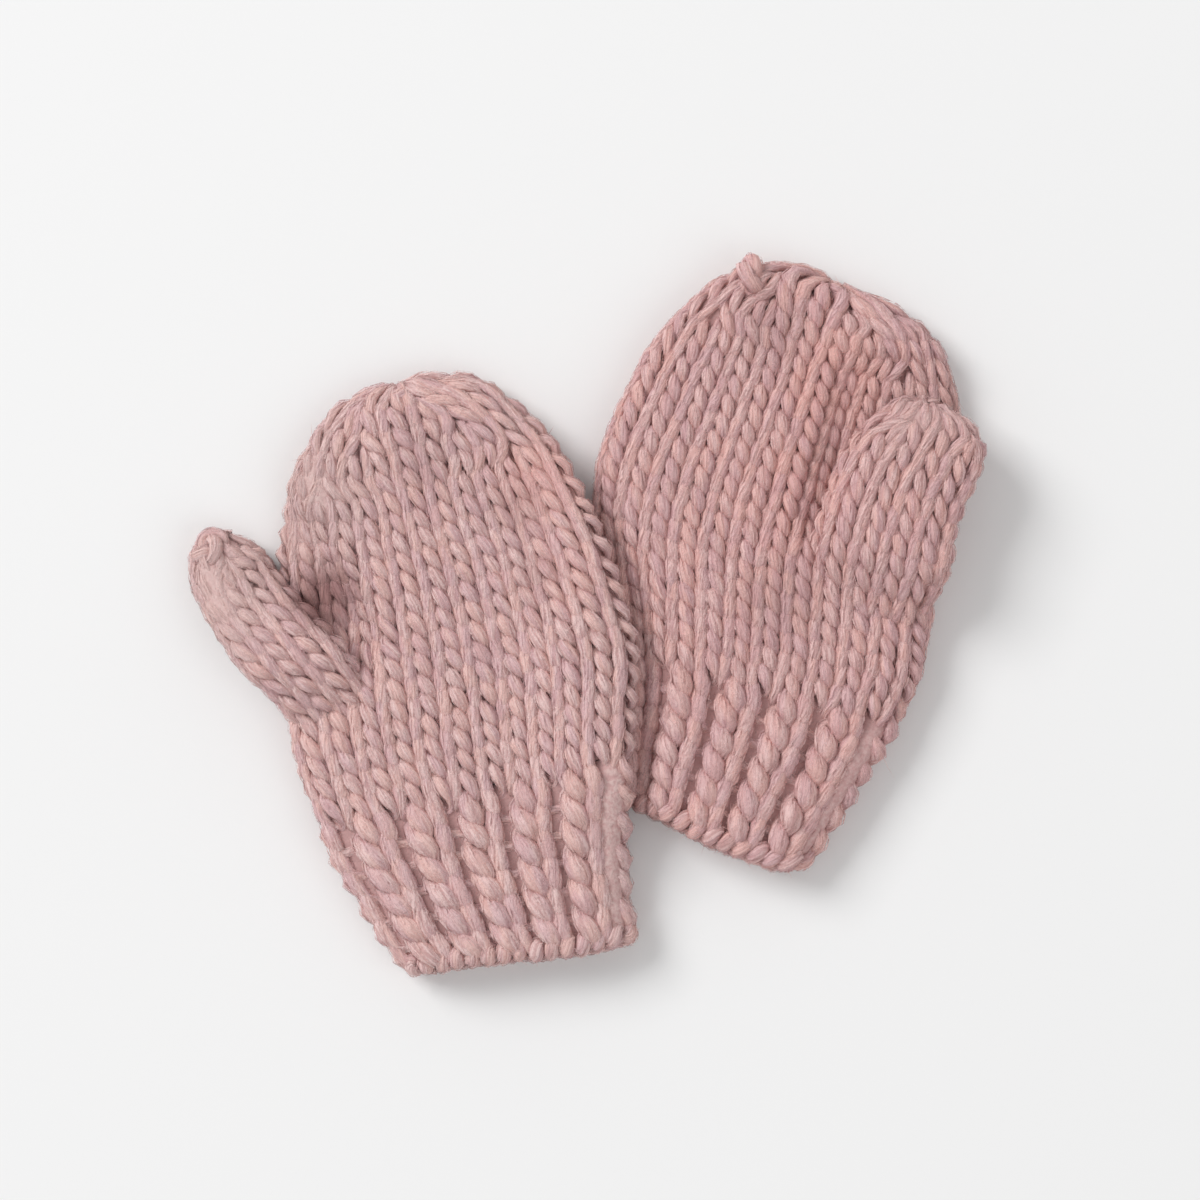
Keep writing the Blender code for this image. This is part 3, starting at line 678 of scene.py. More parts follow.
def edge_row(tube, knitting, random):
    """The cuff's cast-on edge: yarn wound round it like a screw, five turns in four wales."""
    wales = knitting.wales
    t = np.linspace(0, TURN, LOOP_STEPS, endpoint=False)
    number = np.arange(wales)[:, None]
    jitter = random.uniform(-1, 1, (2, wales))
    across = (number + t[None, :] / TURN) / wales
    turn = TURN * EDGE_TURNS * wales * across
    high = EDGE_TURN.high * np.sin(turn) + EDGE_OFF_TRUE.high * blended(jitter[0], t)
    y = tube.along[0] + EDGE_PLACE + high
    u = tube.front_at(y) - across
    points, normals = tube.at(u, y)
    short = y - tube.along[0]
    points[..., 1] += np.minimum(short, 0.0)
    depth = EDGE_TURN.out * np.cos(turn) + EDGE_OFF_TRUE.out * blended(jitter[1], t)
    radius = YARN_RADIUS * EDGE_TURN.thick * (1 + EDGE_OFF_TRUE.thick * np.cos(turn))
    return points + normals * depth[..., None], normals, radius, depth


def knot(place, size, random):
    """A small knot of yarn: a threefold knotted ring, turned any way, with directions away from it."""
    t = np.linspace(0, TURN, KNOT_STEPS, endpoint=False)
    wide = 1.0 + KNOT_SWING * np.cos(3 * t)
    rise = KNOT_SWING * np.sin(3 * t)
    path = np.column_stack([wide * np.cos(2 * t), wide * np.sin(2 * t), rise])
    turned = np.linalg.qr(random.normal(0, 1, (3, 3)))[0]
    path = path @ turned * size
    radius = np.full(KNOT_STEPS, KNOT_THICK * size)
    return np.array(place) + path, unit(path), radius, np.full(KNOT_STEPS, KNOT_LEVEL)


# meshes


def ring_quads(rings, sides, bands):
    """Corners of the faces in bands between rings of points; with as many bands as rings, the last
    ring is joined to the first."""
    i, j = np.meshgrid(np.arange(bands), np.arange(sides), indexing="ij")
    following, beside = (i + 1) % rings, (j + 1) % sides
    corners = [i * sides + j, following * sides + j, following * sides + beside, i * sides + beside]
    return np.stack(corners, axis=-1).reshape(-1, 4)


class Mesh:
    """Grids gathered into one mesh, with a strand place at each corner for the fibres of the yarn."""

    def __init__(self, sides, swell):
        self.sides, self.swell = sides, swell
        self.points, self.quads, self.strands, self.levels, self.roots = [], [], [], [], []
        self.count = 0

    def add_strand(self, centre, normals, radius, level, offset):
        """Yarn carried along a closed path: round each point a ring in the plane square to the path."""
        ahead = unit(np.roll(centre, -1, axis=0) - np.roll(centre, 1, axis=0))
        side = unit(np.cross(ahead, normals))
        up = np.cross(side, ahead)
        theta = np.linspace(0, TURN, self.sides, endpoint=False)
        wide = (radius * FLAT_SCALE + self.swell)[:, None, None]
        deep = (radius * DEEP_SCALE + self.swell)[:, None, None]
        ring = side[:, None] * np.cos(theta)[None, :, None] * wide
        ring = ring + up[:, None] * np.sin(theta)[None, :, None] * deep
        points = centre[:, None] + ring
        self.levels.append((level[:, None] + np.sum(ring * normals[:, None], axis=-1)).ravel())
        facing = np.sum(unit(ring) * normals[:, None], axis=-1)
        along = np.repeat(ahead[:, None], self.sides, axis=1)
        outside = facing > DOWN_FACING
        self.roots.append(np.stack([points[outside], unit(ring)[outside], along[outside]], axis=1))
        steps = np.linalg.norm(np.roll(centre, -1, axis=0) - centre, axis=1)
        length = np.concatenate([[0.0], np.cumsum(steps)]) + offset
        turn = np.linspace(0, TURN, self.sides + 1)[None, :] + STRAND_TWIST * length[:, None]
        strand = np.stack(
            [np.cos(turn) * YARN_RADIUS, np.sin(turn) * YARN_RADIUS,
             np.repeat(length[:, None], self.sides + 1, axis=1)], axis=-1
        )
        self.add_grid(points, strand)

    def add_grid(self, points, strand):
        """A grid of rings, each ring closed, and the last ring joined to the first."""
        rings, sides = points.shape[:2]
        self.quads.append(ring_quads(rings, sides, rings) + self.count)
        i, j = np.meshgrid(np.arange(rings), np.arange(sides), indexing="ij")
        corners = np.stack(
            [strand[i, j], strand[i + 1, j], strand[i + 1, j + 1], strand[i, j + 1]], axis=-2
        )
        self.strands.append(corners.reshape(-1, 3))
        self.points.append(points.reshape(-1, 3))
        self.count += rings * sides

    def build(self, name, tube):
        """The finished object, in world place, with its underside pressed flat on the floor."""
        points = tube.world(above_floor(np.vstack(self.points)))
        quads = np.vstack(self.quads)
        obj = mesh_object(name, points, quads.ravel(), np.full(len(quads), 4), np.vstack(self.strands))
        set_levels(obj, np.concatenate(self.levels))
        return obj


def above_floor(points):
    """Points pressed softly up off the floor: half the height plus the root of its square and a bit."""
    height = points[..., 2]
    pressed = (height + np.sqrt(height**2 + FLOOR_SOFTNESS**2)) / 2
    return np.concatenate([points[..., :2], pressed[..., None]], axis=-1)


def set_levels(obj, levels):
    """Gives each point its level: how far it lies outside the middle of the cloth, which sets the wool's
    painted shade and, on the cloth, its felt.
    """
    layer = obj.data.attributes.new("level", "FLOAT", "POINT")
    layer.data.foreach_set("value", levels.astype(np.float32))


def mesh_object(name, points, corners, sizes, strands=None):
    """An object from points, the corners of its faces one after another, and each face's corner count."""
    mesh = bpy.data.meshes.new(name)
    mesh.vertices.add(len(points))
    mesh.vertices.foreach_set("co", np.ascontiguousarray(points, np.float32).ravel())
    mesh.loops.add(len(corners))
    mesh.loops.foreach_set("vertex_index", corners.astype(np.int32))
    mesh.polygons.add(len(sizes))
    starts = np.concatenate([[0], np.cumsum(sizes)[:-1]]).astype(np.int32)
    mesh.polygons.foreach_set("loop_start", starts)
    mesh.polygons.foreach_set("loop_total", sizes.astype(np.int32))
    if strands is not None:
        layer = mesh.attributes.new("strand", "FLOAT_VECTOR", "CORNER")
        layer.data.foreach_set("vector", np.ascontiguousarray(strands, np.float32).ravel())
    mesh.update(calc_edges=True)
    mesh.validate()
    mesh.shade_smooth()
    obj = bpy.data.objects.new(name, mesh)
    bpy.context.scene.collection.objects.link(obj)
    return obj


def knit(name, tube, knitting, rows, knots):
    """The yarn of some rows of a tube, its halo, and the places where down can root.

    Each row, the cast-on edge and each knot is a closed strand. The edge goes with a ribbed tube's
    first row.
    """
    strands = []
    if rows[0] == 0 and knitting.ribbed > 0:
        random = np.random.default_rng([knitting.seed, EDGE_SEED])
        strands.append((edge_row(tube, knitting, random), 2 * KNOT_OFFSET))
    for number, place in enumerate(knots):
        random = np.random.default_rng([knitting.seed, KNOT_SEED + number])
        strands.append((knot(place[:3], place.size, random), KNOT_OFFSET - ROW_OFFSET * number))
    for row in rows:
        random = np.random.default_rng([knitting.seed, row])
        strands.append((knitted_row(tube, knitting, row, random), ROW_OFFSET * row))
    yarn, halo = Mesh(YARN_SIDES, 0.0), Mesh(HALO_SIDES, HALO_REACH)
    for (points, normals, radius, level), offset in strands:
        path = points.reshape(-1, 3), normals.reshape(-1, 3), radius.ravel(), level.ravel()
        yarn.add_strand(*path, offset)
        halo.add_strand(*path, offset)
    return yarn.build(f"{name}_yarn", tube), halo.build(f"{name}_halo", tube), yarn.roots


def down(name, tube, roots, count, seed):
    """Fine fibres that stand off the yarn: from a root, a way out and along, and a bend as its square.

    Each fibre is a three-sided rod in two steps that comes to a point.
    """
    random = np.random.default_rng(seed)
    spots = np.concatenate(roots)
    seen = (spots[:, 1, 2] > DOWN_LEAST_RISE) | (spots[:, 0, 2] > DOWN_LEAST_HEIGHT)
    spots = spots[seen]
    spots = spots[random.integers(0, len(spots), count)]
    root, out, along = spots[:, 0], spots[:, 1], spots[:, 2]
    sway = random.choice([-1.0, 1.0], (count, 1)) * random.uniform(*FIBRE_ALONG, (count, 1))
    way = unit(out * random.uniform(*FIBRE_OUT, (count, 1)) + along * sway
               + random.normal(0, FIBRE_STRAY, (count, 3)))
    bend = random.normal(0, FIBRE_BEND, (count, 3)) - out * FIBRE_DROOP
    size = FIBRE_LENGTH * random.lognormal(0.0, FIBRE_LENGTH_SPREAD, (count, 1))
    s = np.array([0.0, 0.5, 1.0])[None, :, None]
    path = size[:, None] * (way[:, None] * s + bend[:, None] * s**2)
    centre = (root - out * FIBRE_SUNK)[:, None] + path
    side = unit(np.cross(way, out) + 1e-6)[:, None]
    up = unit(np.cross(side, way[:, None]))
    theta = np.array([0.0, TURN / 3, 2 * TURN / 3])
    thick = FIBRE_RADIUS * random.uniform(*FIBRE_RADIUS_SHARES, (count, 1, 1, 1))
    thick = thick * np.array([1.0, FIBRE_TAPER])[None, :, None, None]
    ring = side[:, :, None] * np.cos(theta)[None, None, :, None]
    ring = (ring + up[:, :, None] * np.sin(theta)[None, None, :, None]) * thick
    rods = (centre[:, :2, None] + ring).reshape(count, 6, 3)
    points = np.concatenate([rods, centre[:, 2:]], axis=1)
    first = (np.arange(count) * 7)[:, None, None]
    quads = np.array([[0, 3, 4, 1], [1, 4, 5, 2], [2, 5, 3, 0]])
    ends = np.array([[3, 6, 4], [4, 6, 5], [5, 6, 3], [0, 1, 2]])
    quads, ends = (quads[None] + first).reshape(-1, 4), (ends[None] + first).reshape(-1, 3)
    corners = np.concatenate([quads.ravel(), ends.ravel()])
    sizes = np.concatenate([np.full(len(quads), 4), np.full(len(ends), 3)])
    flat = above_floor(points.reshape(-1, 3))
    return mesh_object(name, tube.world(flat), corners, sizes)


def backing(name, tube, rows, along, depth, felt):
    """Thin cloth between the loops: the middle of the cloth drawn in by a depth, less where felted."""
    low, high = rows
    mids = np.linspace(low, high, along)
    u, y = np.meshgrid(np.arange(BACKING_AROUND) / BACKING_AROUND, mids)
    points, normals = tube.at(u, y)
    front = np.clip(normals[..., 2], 0.0, 1.0)
    level = FELT_RISE * felted_share(felt, points[..., 0], points[..., 1]) * front - depth
    points = points + normals * level[..., None]
    rings, sides = points.shape[:2]
    quads = ring_quads(rings, sides, rings - 1)[:, ::-1]
    flat, levels = points.reshape(-1, 3), level.ravel()
    corners, sizes = quads.ravel(), np.full(len(quads), 4)
    if high >= tube.along[-1]:
        ring = (rings - 1) * sides + np.arange(sides)
        fan = np.stack([ring, np.roll(ring, -1), np.full(sides, len(flat))], axis=-1)
        flat = np.vstack([flat, points[-1].mean(axis=0)])
        levels = np.concatenate([levels, level[-1:].mean(axis=1)])
        corners = np.concatenate([corners, fan.ravel()])
        sizes = np.concatenate([sizes, np.full(sides, 3)])
    obj = mesh_object(name, tube.world(flat), corners, sizes)
    set_levels(obj, levels)
    wall = obj.modifiers.new("wall", "SOLIDIFY")
    wall.thickness = BACKING_WALL * MM
    wall.offset = 0.0
    return obj


# wool


# Streaks of fibres in the yarn: how fast they change round it and along it, to the millimetre, and
# the scale, detail and roughness of their noise.
Streak = namedtuple("Streak", "round along scale detail roughness")
YARN_STREAK = Streak(round=1.2, along=0.17, scale=1.0, detail=3.0, roughness=0.6)
HALO_STREAK = Streak(round=2.1, along=0.26, scale=1.0, detail=2.0, roughness=0.6)
HALO_TONE = Streak(round=0.9, along=0.2, scale=1.0, detail=1.0, roughness=0.5)
WARM_STREAK = Streak(round=0.4, along=0.08, scale=1.0, detail=1.0, roughness=0.5)
MAUVE_STREAK = Streak(round=0.25, along=0.06, scale=1.3, detail=1.0, roughness=0.5)

# Grains and patches over a place in metres, in the same terms.
Grain = namedtuple("Grain", "scale detail roughness")
YARN_HAZE = Grain(scale=1500.0, detail=3.0, roughness=0.7)
YARN_PATCH = Grain(scale=28.0, detail=2.0, roughness=0.5)
HALO_CROSSING = Grain(scale=2000.0, detail=2.0, roughness=0.6)
CLOTH_GRAIN = Grain(scale=900.0, detail=4.0, roughness=0.65)
CLOTH_LUMP = Grain(scale=260.0, detail=2.0, roughness=0.5)
DOWN_GRAIN = Grain(scale=300.0, detail=1.0, roughness=0.5)

# how much of the fine noise goes with the streaks: in the yarn's tones, in its relief and in the
# halo's cover
YARN_HAZE_SHARE = 0.25
RELIEF_HAZE_SHARE = 0.6
HALO_CROSSING_SHARE = 0.22

# the noise between which one tone turns into the next, and the halo from open to covered
YARN_TURNS = (0.4, 0.6)
HALO_TURNS = (0.25, 0.55)
HALO_COVERS = (0.46, 0.6)
WARM_TURNS = (0.45, 0.6)
MAUVE_TURNS = (0.48, 0.62)
PATCH_TURNS = (0.4, 0.75)
CLOTH_TURNS = (0.35, 0.65)
DOWN_TURNS = (0.3, 0.7)

# how strong each tone is over those before it, and how dense the halo is where it covers
WARM_SHARE = 0.5
MAUVE_SHARE = 0.4
PATCH_SHARE = 0.3
# the strength of the painted shade over the yarn and over the halo
YARN_SHADE_SHARE = 0.3
HALO_SHADE_SHARE = 0.2
HALO_DENSITY = 0.8

# the levels between which the yarn comes out of its painted shade, and the cloth out of the painted
# shade of the gaps between the loops and then up as felt
SHADED_LEVELS = (-1.4, 1.8)
GAP_SHADE_LEVELS = (-1.0, -0.45)
FELT_LEVELS = (-0.4, 1.2)

# the dull, downy surface of the wool, and its relief in metres
ROUGHNESS = 0.95
YARN_SHINE = 0.15
LOOSE_SHINE = 0.1
SHEEN = 0.35
SHEEN_ROUGHNESS = 0.5
SHEEN_TONE = (244, 196, 190)
RELIEF_STRENGTH = 0.8
YARN_RELIEF = 0.0008
CLOTH_RELIEF = 0.0012


class Number:
    """A socket's number, on which the usual signs add Math nodes."""

    def __init__(self, wool, socket):
        self.wool, self.socket = wool, socket

    def maths(self, operation, *values):
        """What a Math node makes of its values."""
        return self.wool.number("ShaderNodeMath", {"operation": operation}, dict(enumerate(values)))

    def __add__(self, other):
        return self.maths("ADD", self, other)

    def __radd__(self, other):
        return self.maths("ADD", other, self)

    def __sub__(self, other):
        return self.maths("SUBTRACT", self, other)

    def __rsub__(self, other):
        return self.maths("SUBTRACT", other, self)

    def __mul__(self, other):
        return self.maths("MULTIPLY", self, other)

    def __rmul__(self, other):
        return self.maths("MULTIPLY", other, self)

    def eased(self, low, high):
        """0 below low and 1 above high, with an even ease between them."""
        settings = {"interpolation_type": "SMOOTHSTEP"}
        sockets = {"Value": self, "From Min": low, "From Max": high}
        return self.wool.number("ShaderNodeMapRange", settings, sockets, "Result")


class Wool:
    """A material of knitted wool, with the place in metres that its patterns go by."""

    def __init__(self, name):
        self.material = bpy.data.materials.new(name)
        self.material.use_nodes = True
        self.tree = self.material.node_tree
        self.shader = self.tree.nodes["Principled BSDF"]
        self.place = self.node("ShaderNodeTexCoord", {}, {}, "Object")

    def node(self, kind, settings, sockets, output=0):
        """Adds a node: its settings first, then the values or links of its sockets."""
        made = self.tree.nodes.new(kind)
        for key, value in settings.items():
            setattr(made, key, value)
        for key, value in sockets.items():
            self.join(made.inputs[key], value)
        return made.outputs[output]

    def number(self, kind, settings, sockets, output=0):
        """A node whose output is a number that the usual signs work on."""
        return Number(self, self.node(kind, settings, sockets, output))

    def join(self, socket, value):
        """Gives a socket a value, or a link from another socket."""
        if isinstance(value, Number):
            value = value.socket
        if isinstance(value, bpy.types.NodeSocket):
            self.tree.links.new(value, socket)
        else:
            socket.default_value = value

    def attribute(self, name, output):
        """What a mesh's own attribute says."""
        return self.node("ShaderNodeAttribute", {"attribute_name": name}, {}, output)

    def noise(self, where, kind):
        """Noise over a place, as a number about one half."""
        sockets = {"Vector": where, "Scale": kind.scale, "Detail": kind.detail,
                   "Roughness": kind.roughness}
        return self.number("ShaderNodeTexNoise", {"noise_dimensions": "3D"}, sockets, "Fac")

    def streaks(self, strand, kind):
        """Noise over a place in the yarn, stretched along it."""
        sockets = {0: strand, 1: (kind.round, kind.round, kind.along)}
        return self.noise(self.node("ShaderNodeVectorMath", {"operation": "MULTIPLY"}, sockets), kind)

    def mixed(self, share, first, second):
        """One colour turning into another."""
        sockets = {"Factor": share, 6: first, 7: second}
        return self.node("ShaderNodeMix", {"data_type": "RGBA"}, sockets, 2)

    def shaded(self, share, tones, colour):
        """A colour with painted shade over it where the level is low: the wool's shade tone mixed in
        where it lies deep.
        """
        level = Number(self, self.attribute("level", "Fac"))
        return self.mixed((1 - level.eased(*SHADED_LEVELS)) * share, colour, linear(*tones.shade))

    def dull(self, colour, shine):
        """Gives the shader its colour and a dull surface, and returns the material."""
        self.join(self.shader.inputs["Base Color"], colour)
        self.join(self.shader.inputs["Roughness"], ROUGHNESS)
        self.join(self.shader.inputs["Specular IOR Level"], shine)
        return self.material

    def downy(self, relief, distance):
        """Gives the shader a relief and the pale sheen of down over it."""
        sockets = {"Height": relief, "Strength": RELIEF_STRENGTH, "Distance": distance}
        self.join(self.shader.inputs["Normal"], self.node("ShaderNodeBump", {}, sockets))
        self.join(self.shader.inputs["Sheen Weight"], SHEEN)
        self.join(self.shader.inputs["Sheen Roughness"], SHEEN_ROUGHNESS)
        self.join(self.shader.inputs["Sheen Tint"], linear(*SHEEN_TONE))


def linear(red, green, blue):
    """A colour given from 0 to 255 on a screen, as the light it stands for."""
    return tuple(((value / 255 + 0.055) / 1.055) ** 2.4 for value in (red, green, blue)) + (1.0,)


def down_wool(name, tones):
    """The down: single fibres, deep and pale by where they are."""
    wool = Wool(name)
    grain = wool.noise(wool.place, DOWN_GRAIN).eased(*DOWN_TURNS)
    return wool.dull(wool.mixed(grain, linear(*tones.deep), linear(*tones.pale)), LOOSE_SHINE)


# Soft patches of another tone: where each lies in the mitten's own frame, how far it reaches, how
# strong it is, and its tone. Patches of the darkest tone are painted shade, deepest where the left thumb
# shades the hand beside it.
Tint = namedtuple("Tint", "x y reach share tone")
SALMON, PAINTED_SHADE_TONE, ASHEN = (232, 176, 166), (152, 110, 108), (208, 182, 178)
LEFT_TINTS = (
    Tint(x=31.0, y=118.0, reach=18.0, share=0.35, tone=SALMON),
    Tint(x=34.0, y=94.0, reach=16.0, share=0.25, tone=SALMON),
    # painted shadow of the left thumb on the hand in the crotch beside it
    Tint(x=-30.5, y=101.0, reach=14.0, share=0.85, tone=PAINTED_SHADE_TONE),
    Tint(x=24.0, y=112.0, reach=11.0, share=0.25, tone=PAINTED_SHADE_TONE),
    Tint(x=25.0, y=95.0, reach=11.0, share=0.25, tone=PAINTED_SHADE_TONE),
    Tint(x=2.0, y=133.0, reach=15.0, share=0.2, tone=PAINTED_SHADE_TONE),
    Tint(x=-30.0, y=128.0, reach=24.0, share=0.45, tone=ASHEN),
    Tint(x=-58.0, y=107.0, reach=26.0, share=0.5, tone=ASHEN),
)
RIGHT_TINTS = (
    Tint(x=5.0, y=119.0, reach=20.0, share=0.36, tone=SALMON),
    Tint(x=2.0, y=88.0, reach=26.0, share=0.2, tone=SALMON),
    Tint(x=5.0, y=62.0, reach=17.0, share=0.2, tone=PAINTED_SHADE_TONE),
    Tint(x=-14.0, y=128.0, reach=14.0, share=0.25, tone=PAINTED_SHADE_TONE),
    Tint(x=29.0, y=112.0, reach=22.0, share=0.3, tone=ASHEN),
)


def tinted(wool, colour, mitten, tints):
    """A colour with soft patches over it: each fades evenly from near its middle out to its reach."""
    for tint in tints:
        x, y = to_world(mitten, tint.x, tint.y)
        middle = (x * MM, y * MM, TINT_HEIGHT * MM)
        sockets = {0: wool.place, 1: middle}
        away = wool.number("ShaderNodeVectorMath", {"operation": "DISTANCE"}, sockets, 1)
        near = 1 - away.eased(TINT_FULL * tint.reach * MM, tint.reach * MM)
        colour = wool.mixed(near * tint.share, colour, linear(*tint.tone))
    return colour


def strand_colour(wool, strand, streaks, tones):
    """Deep and pale fibres by their streaks, with warm and mauve stretches of yarn over them."""
    warm = wool.streaks(strand, WARM_STREAK).eased(*WARM_TURNS)
    mauve = wool.streaks(strand, MAUVE_STREAK).eased(*MAUVE_TURNS)
    colour = wool.mixed(streaks, linear(*tones.deep), linear(*tones.pale))
    colour = wool.mixed(warm * WARM_SHARE, colour, linear(*tones.warm))
    return wool.mixed(mauve * MAUVE_SHARE, colour, linear(*tones.mauve))


def yarn_wool(name, tones, mitten, tints):
    """Wool yarn: pale and deep fibres in long streaks along the strand, over softer patches."""
    wool = Wool(name)
    strand = wool.attribute("strand", "Vector")
    fine, haze = wool.streaks(strand, YARN_STREAK), wool.noise(wool.place, YARN_HAZE)
    grained = fine * (1 - YARN_HAZE_SHARE) + haze * YARN_HAZE_SHARE
    colour = strand_colour(wool, strand, grained.eased(*YARN_TURNS), tones)
    patch = wool.noise(wool.place, YARN_PATCH).eased(*PATCH_TURNS)
    colour = wool.mixed(patch * PATCH_SHARE, colour, linear(*tones.grey))
    colour = tinted(wool, colour, mitten, tints)
    wool.downy(fine + haze * RELIEF_HAZE_SHARE, YARN_RELIEF)
    # painted shade: the yarn is darkened towards its shade tone where it lies deep between the loops
    return wool.dull(wool.shaded(YARN_SHADE_SHARE, tones, colour), YARN_SHINE)


def halo_wool(name, tones, mitten, tints):
    """Loose fibres that lie a little off the yarn: streaks along it with open places between them."""
    wool = Wool(name)
    strand = wool.attribute("strand", "Vector")
    fine, crossing = wool.streaks(strand, HALO_STREAK), wool.noise(wool.place, HALO_CROSSING)
    tone = wool.streaks(strand, HALO_TONE).eased(*HALO_TURNS)
    colour = tinted(wool, strand_colour(wool, strand, tone, tones), mitten, tints)
    grained = fine * (1 - HALO_CROSSING_SHARE) + crossing * HALO_CROSSING_SHARE
    wool.join(wool.shader.inputs["Alpha"], grained.eased(*HALO_COVERS) * HALO_DENSITY)
    # painted shade: the halo is darkened the same way where it lies deep
    return wool.dull(wool.shaded(HALO_SHADE_SHARE, tones, colour), LOOSE_SHINE)


def cloth_wool(name, tones, mitten, tints):
    """The cloth between the loops: the same wool, grainy where felted; where it lies deep its colour is
    painted shade, darkest in the gaps between the loops.
    """
    wool = Wool(name)
    level = Number(wool, wool.attribute("level", "Fac"))
    grain, lump = wool.noise(wool.place, CLOTH_GRAIN), wool.noise(wool.place, CLOTH_LUMP)
    felt = wool.mixed(grain.eased(*CLOTH_TURNS), linear(*tones.deep), linear(*tones.grey))
    # painted shade: the cloth darkens from the shade tone to the darker tone of the gaps as it lies
    # deeper
    low = wool.mixed(level.eased(*GAP_SHADE_LEVELS), linear(*tones.gap), linear(*tones.shade))
    colour = wool.mixed(level.eased(*FELT_LEVELS), low, felt)
    wool.downy(grain * 0.5 + lump, CLOTH_RELIEF)
    return wool.dull(tinted(wool, colour, mitten, tints), YARN_SHINE)


# The last two tones are painted shade: one for yarn and cloth that lie deep, and a darker one for the
# cloth deep in the gaps between the loops.
Tones = namedtuple("Tones", "pale deep warm mauve grey shade gap")
LEFT_TONES = Tones(
    pale=(236, 206, 203), deep=(202, 162, 160), warm=(234, 193, 184), mauve=(209, 171, 179),
    grey=(218, 189, 185), shade=(190, 152, 150), gap=(180, 143, 141),
)
RIGHT_TONES = Tones(
    pale=(234, 199, 196), deep=(200, 157, 155), warm=(234, 186, 177), mauve=(207, 166, 174),
    grey=(215, 181, 178), shade=(186, 146, 144), gap=(176, 136, 134),
)


# the two mittens


def spaced(first, step, count):
    """The places of some rows along a tube, a step apart."""
    return tuple(first + step * i for i in range(count))


CUFF_ROWS = 6
LEFT_ROWS = spaced(first=5.8, step=7.0, count=CUFF_ROWS) + spaced(first=47.2, step=5.25, count=20)
RIGHT_ROWS = spaced(first=4.0, step=6.4, count=CUFF_ROWS) + spaced(first=41.8, step=4.9, count=21)
LEFT_THUMB_ROWS = spaced(first=70.0, step=5.3, count=10)
RIGHT_THUMB_ROWS = spaced(first=66.0, step=5.6, count=8) + (111.2, 117.2)

# where cuff and hand meet along each mitten
LEFT_MEET = 44.8
RIGHT_MEET = 40.8

RIBBED = 5.6
NOT_RIBBED = -2.0
NO_SPREAD = (0.0, 1.0, 0.0)
NO_RISE = (0.0, 0.0, 1.0)

LEFT_BODY_KNITTING = Knitting(
    wales=24, rows=LEFT_ROWS, ribbed=RIBBED,
    drops=((21.0, (-8, -4, 4, 8)), (23.0, (-10, -6, -2, 2, 6, 10)), (24.4, (-11, -7, -3, 1, 5, 9))),
    shift=(0.0, 0.0), spread=(112.0, 138.0, 0.2), rise=NO_RISE,
    depth=LOOP_DEPTH, last=151.6, seed=11,
)
RIGHT_BODY_KNITTING = Knitting(
    wales=24, rows=RIGHT_ROWS, ribbed=RIBBED,
    drops=((23.2, (-8, -4, 4, 8)), (24.8, (-10, -6, -2, 2, 6, 10)), (25.8, (-11, -7, -3, 1, 5, 9))),
    shift=(0.12, -0.28), spread=(108.0, 132.0, 0.2), rise=NO_RISE,
    depth=LOOP_DEPTH, last=145.6, seed=23,
)
LEFT_THUMB_KNITTING = Knitting(
    wales=8, rows=LEFT_THUMB_ROWS, ribbed=NOT_RIBBED, drops=((8.5, (-4, 0)),),
    shift=(0.0, 0.0), spread=NO_SPREAD, rise=(6.5, 104.0, 122.0),
    depth=THUMB_LOOP_DEPTH, last=124.6, seed=37,
)
RIGHT_THUMB_KNITTING = Knitting(
    wales=10, rows=RIGHT_THUMB_ROWS, ribbed=NOT_RIBBED, drops=((8.3, (-4, -1, 2)),),
    shift=(0.25, -0.25), spread=NO_SPREAD, rise=NO_RISE,
    depth=THUMB_LOOP_DEPTH, last=122.4, seed=41,
)

# Each kind of piece: how deep its thin cloth lies, in how many steps, and how many fibres stand off.
Kind = namedtuple("Kind", "depth steps fibres")
KINDS = {
    "cuff": Kind(depth=0.4, steps=14, fibres=1500),
    "hand": Kind(depth=0.5, steps=44, fibres=4200),
    "thumb": Kind(depth=0.5, steps=24, fibres=1000),
}

# how far the thin cloth stays back from a tube's open edge, and cuff and hand from each other
EDGE_SETBACK = 1.0
PIECE_GAP = 0.3

# The cloth of each piece when it is cut loose and laid out flat: its width all round, its length,
# and its area, which is less where the cloth is drawn in at a tip.
Cut = namedtuple("Cut", "width length area")


def dress(side, part, tube, knitting, rows, reach, felt, knots, wools):
    """One solid's knitting: thin cloth in its form, and the yarn that shows."""
    yarn, cloth, loose, fuzz = wools
    node, kind = f"{side}_{part}", KINDS[part]
    sheet = backing(f"{node}_cloth", tube, reach, kind.steps, kind.depth, felt)
    stitches, halo, roots = knit(node, tube, knitting, rows, knots)
    fibres = down(f"{node}_down", tube, roots, kind.fibres, knitting.seed + DOWN_SEED)
    for piece, material in ((sheet, cloth), (stitches, yarn), (halo, loose), (fibres, fuzz)):
        piece.data.materials.append(material)
        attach(piece, "root")
        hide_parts(node)


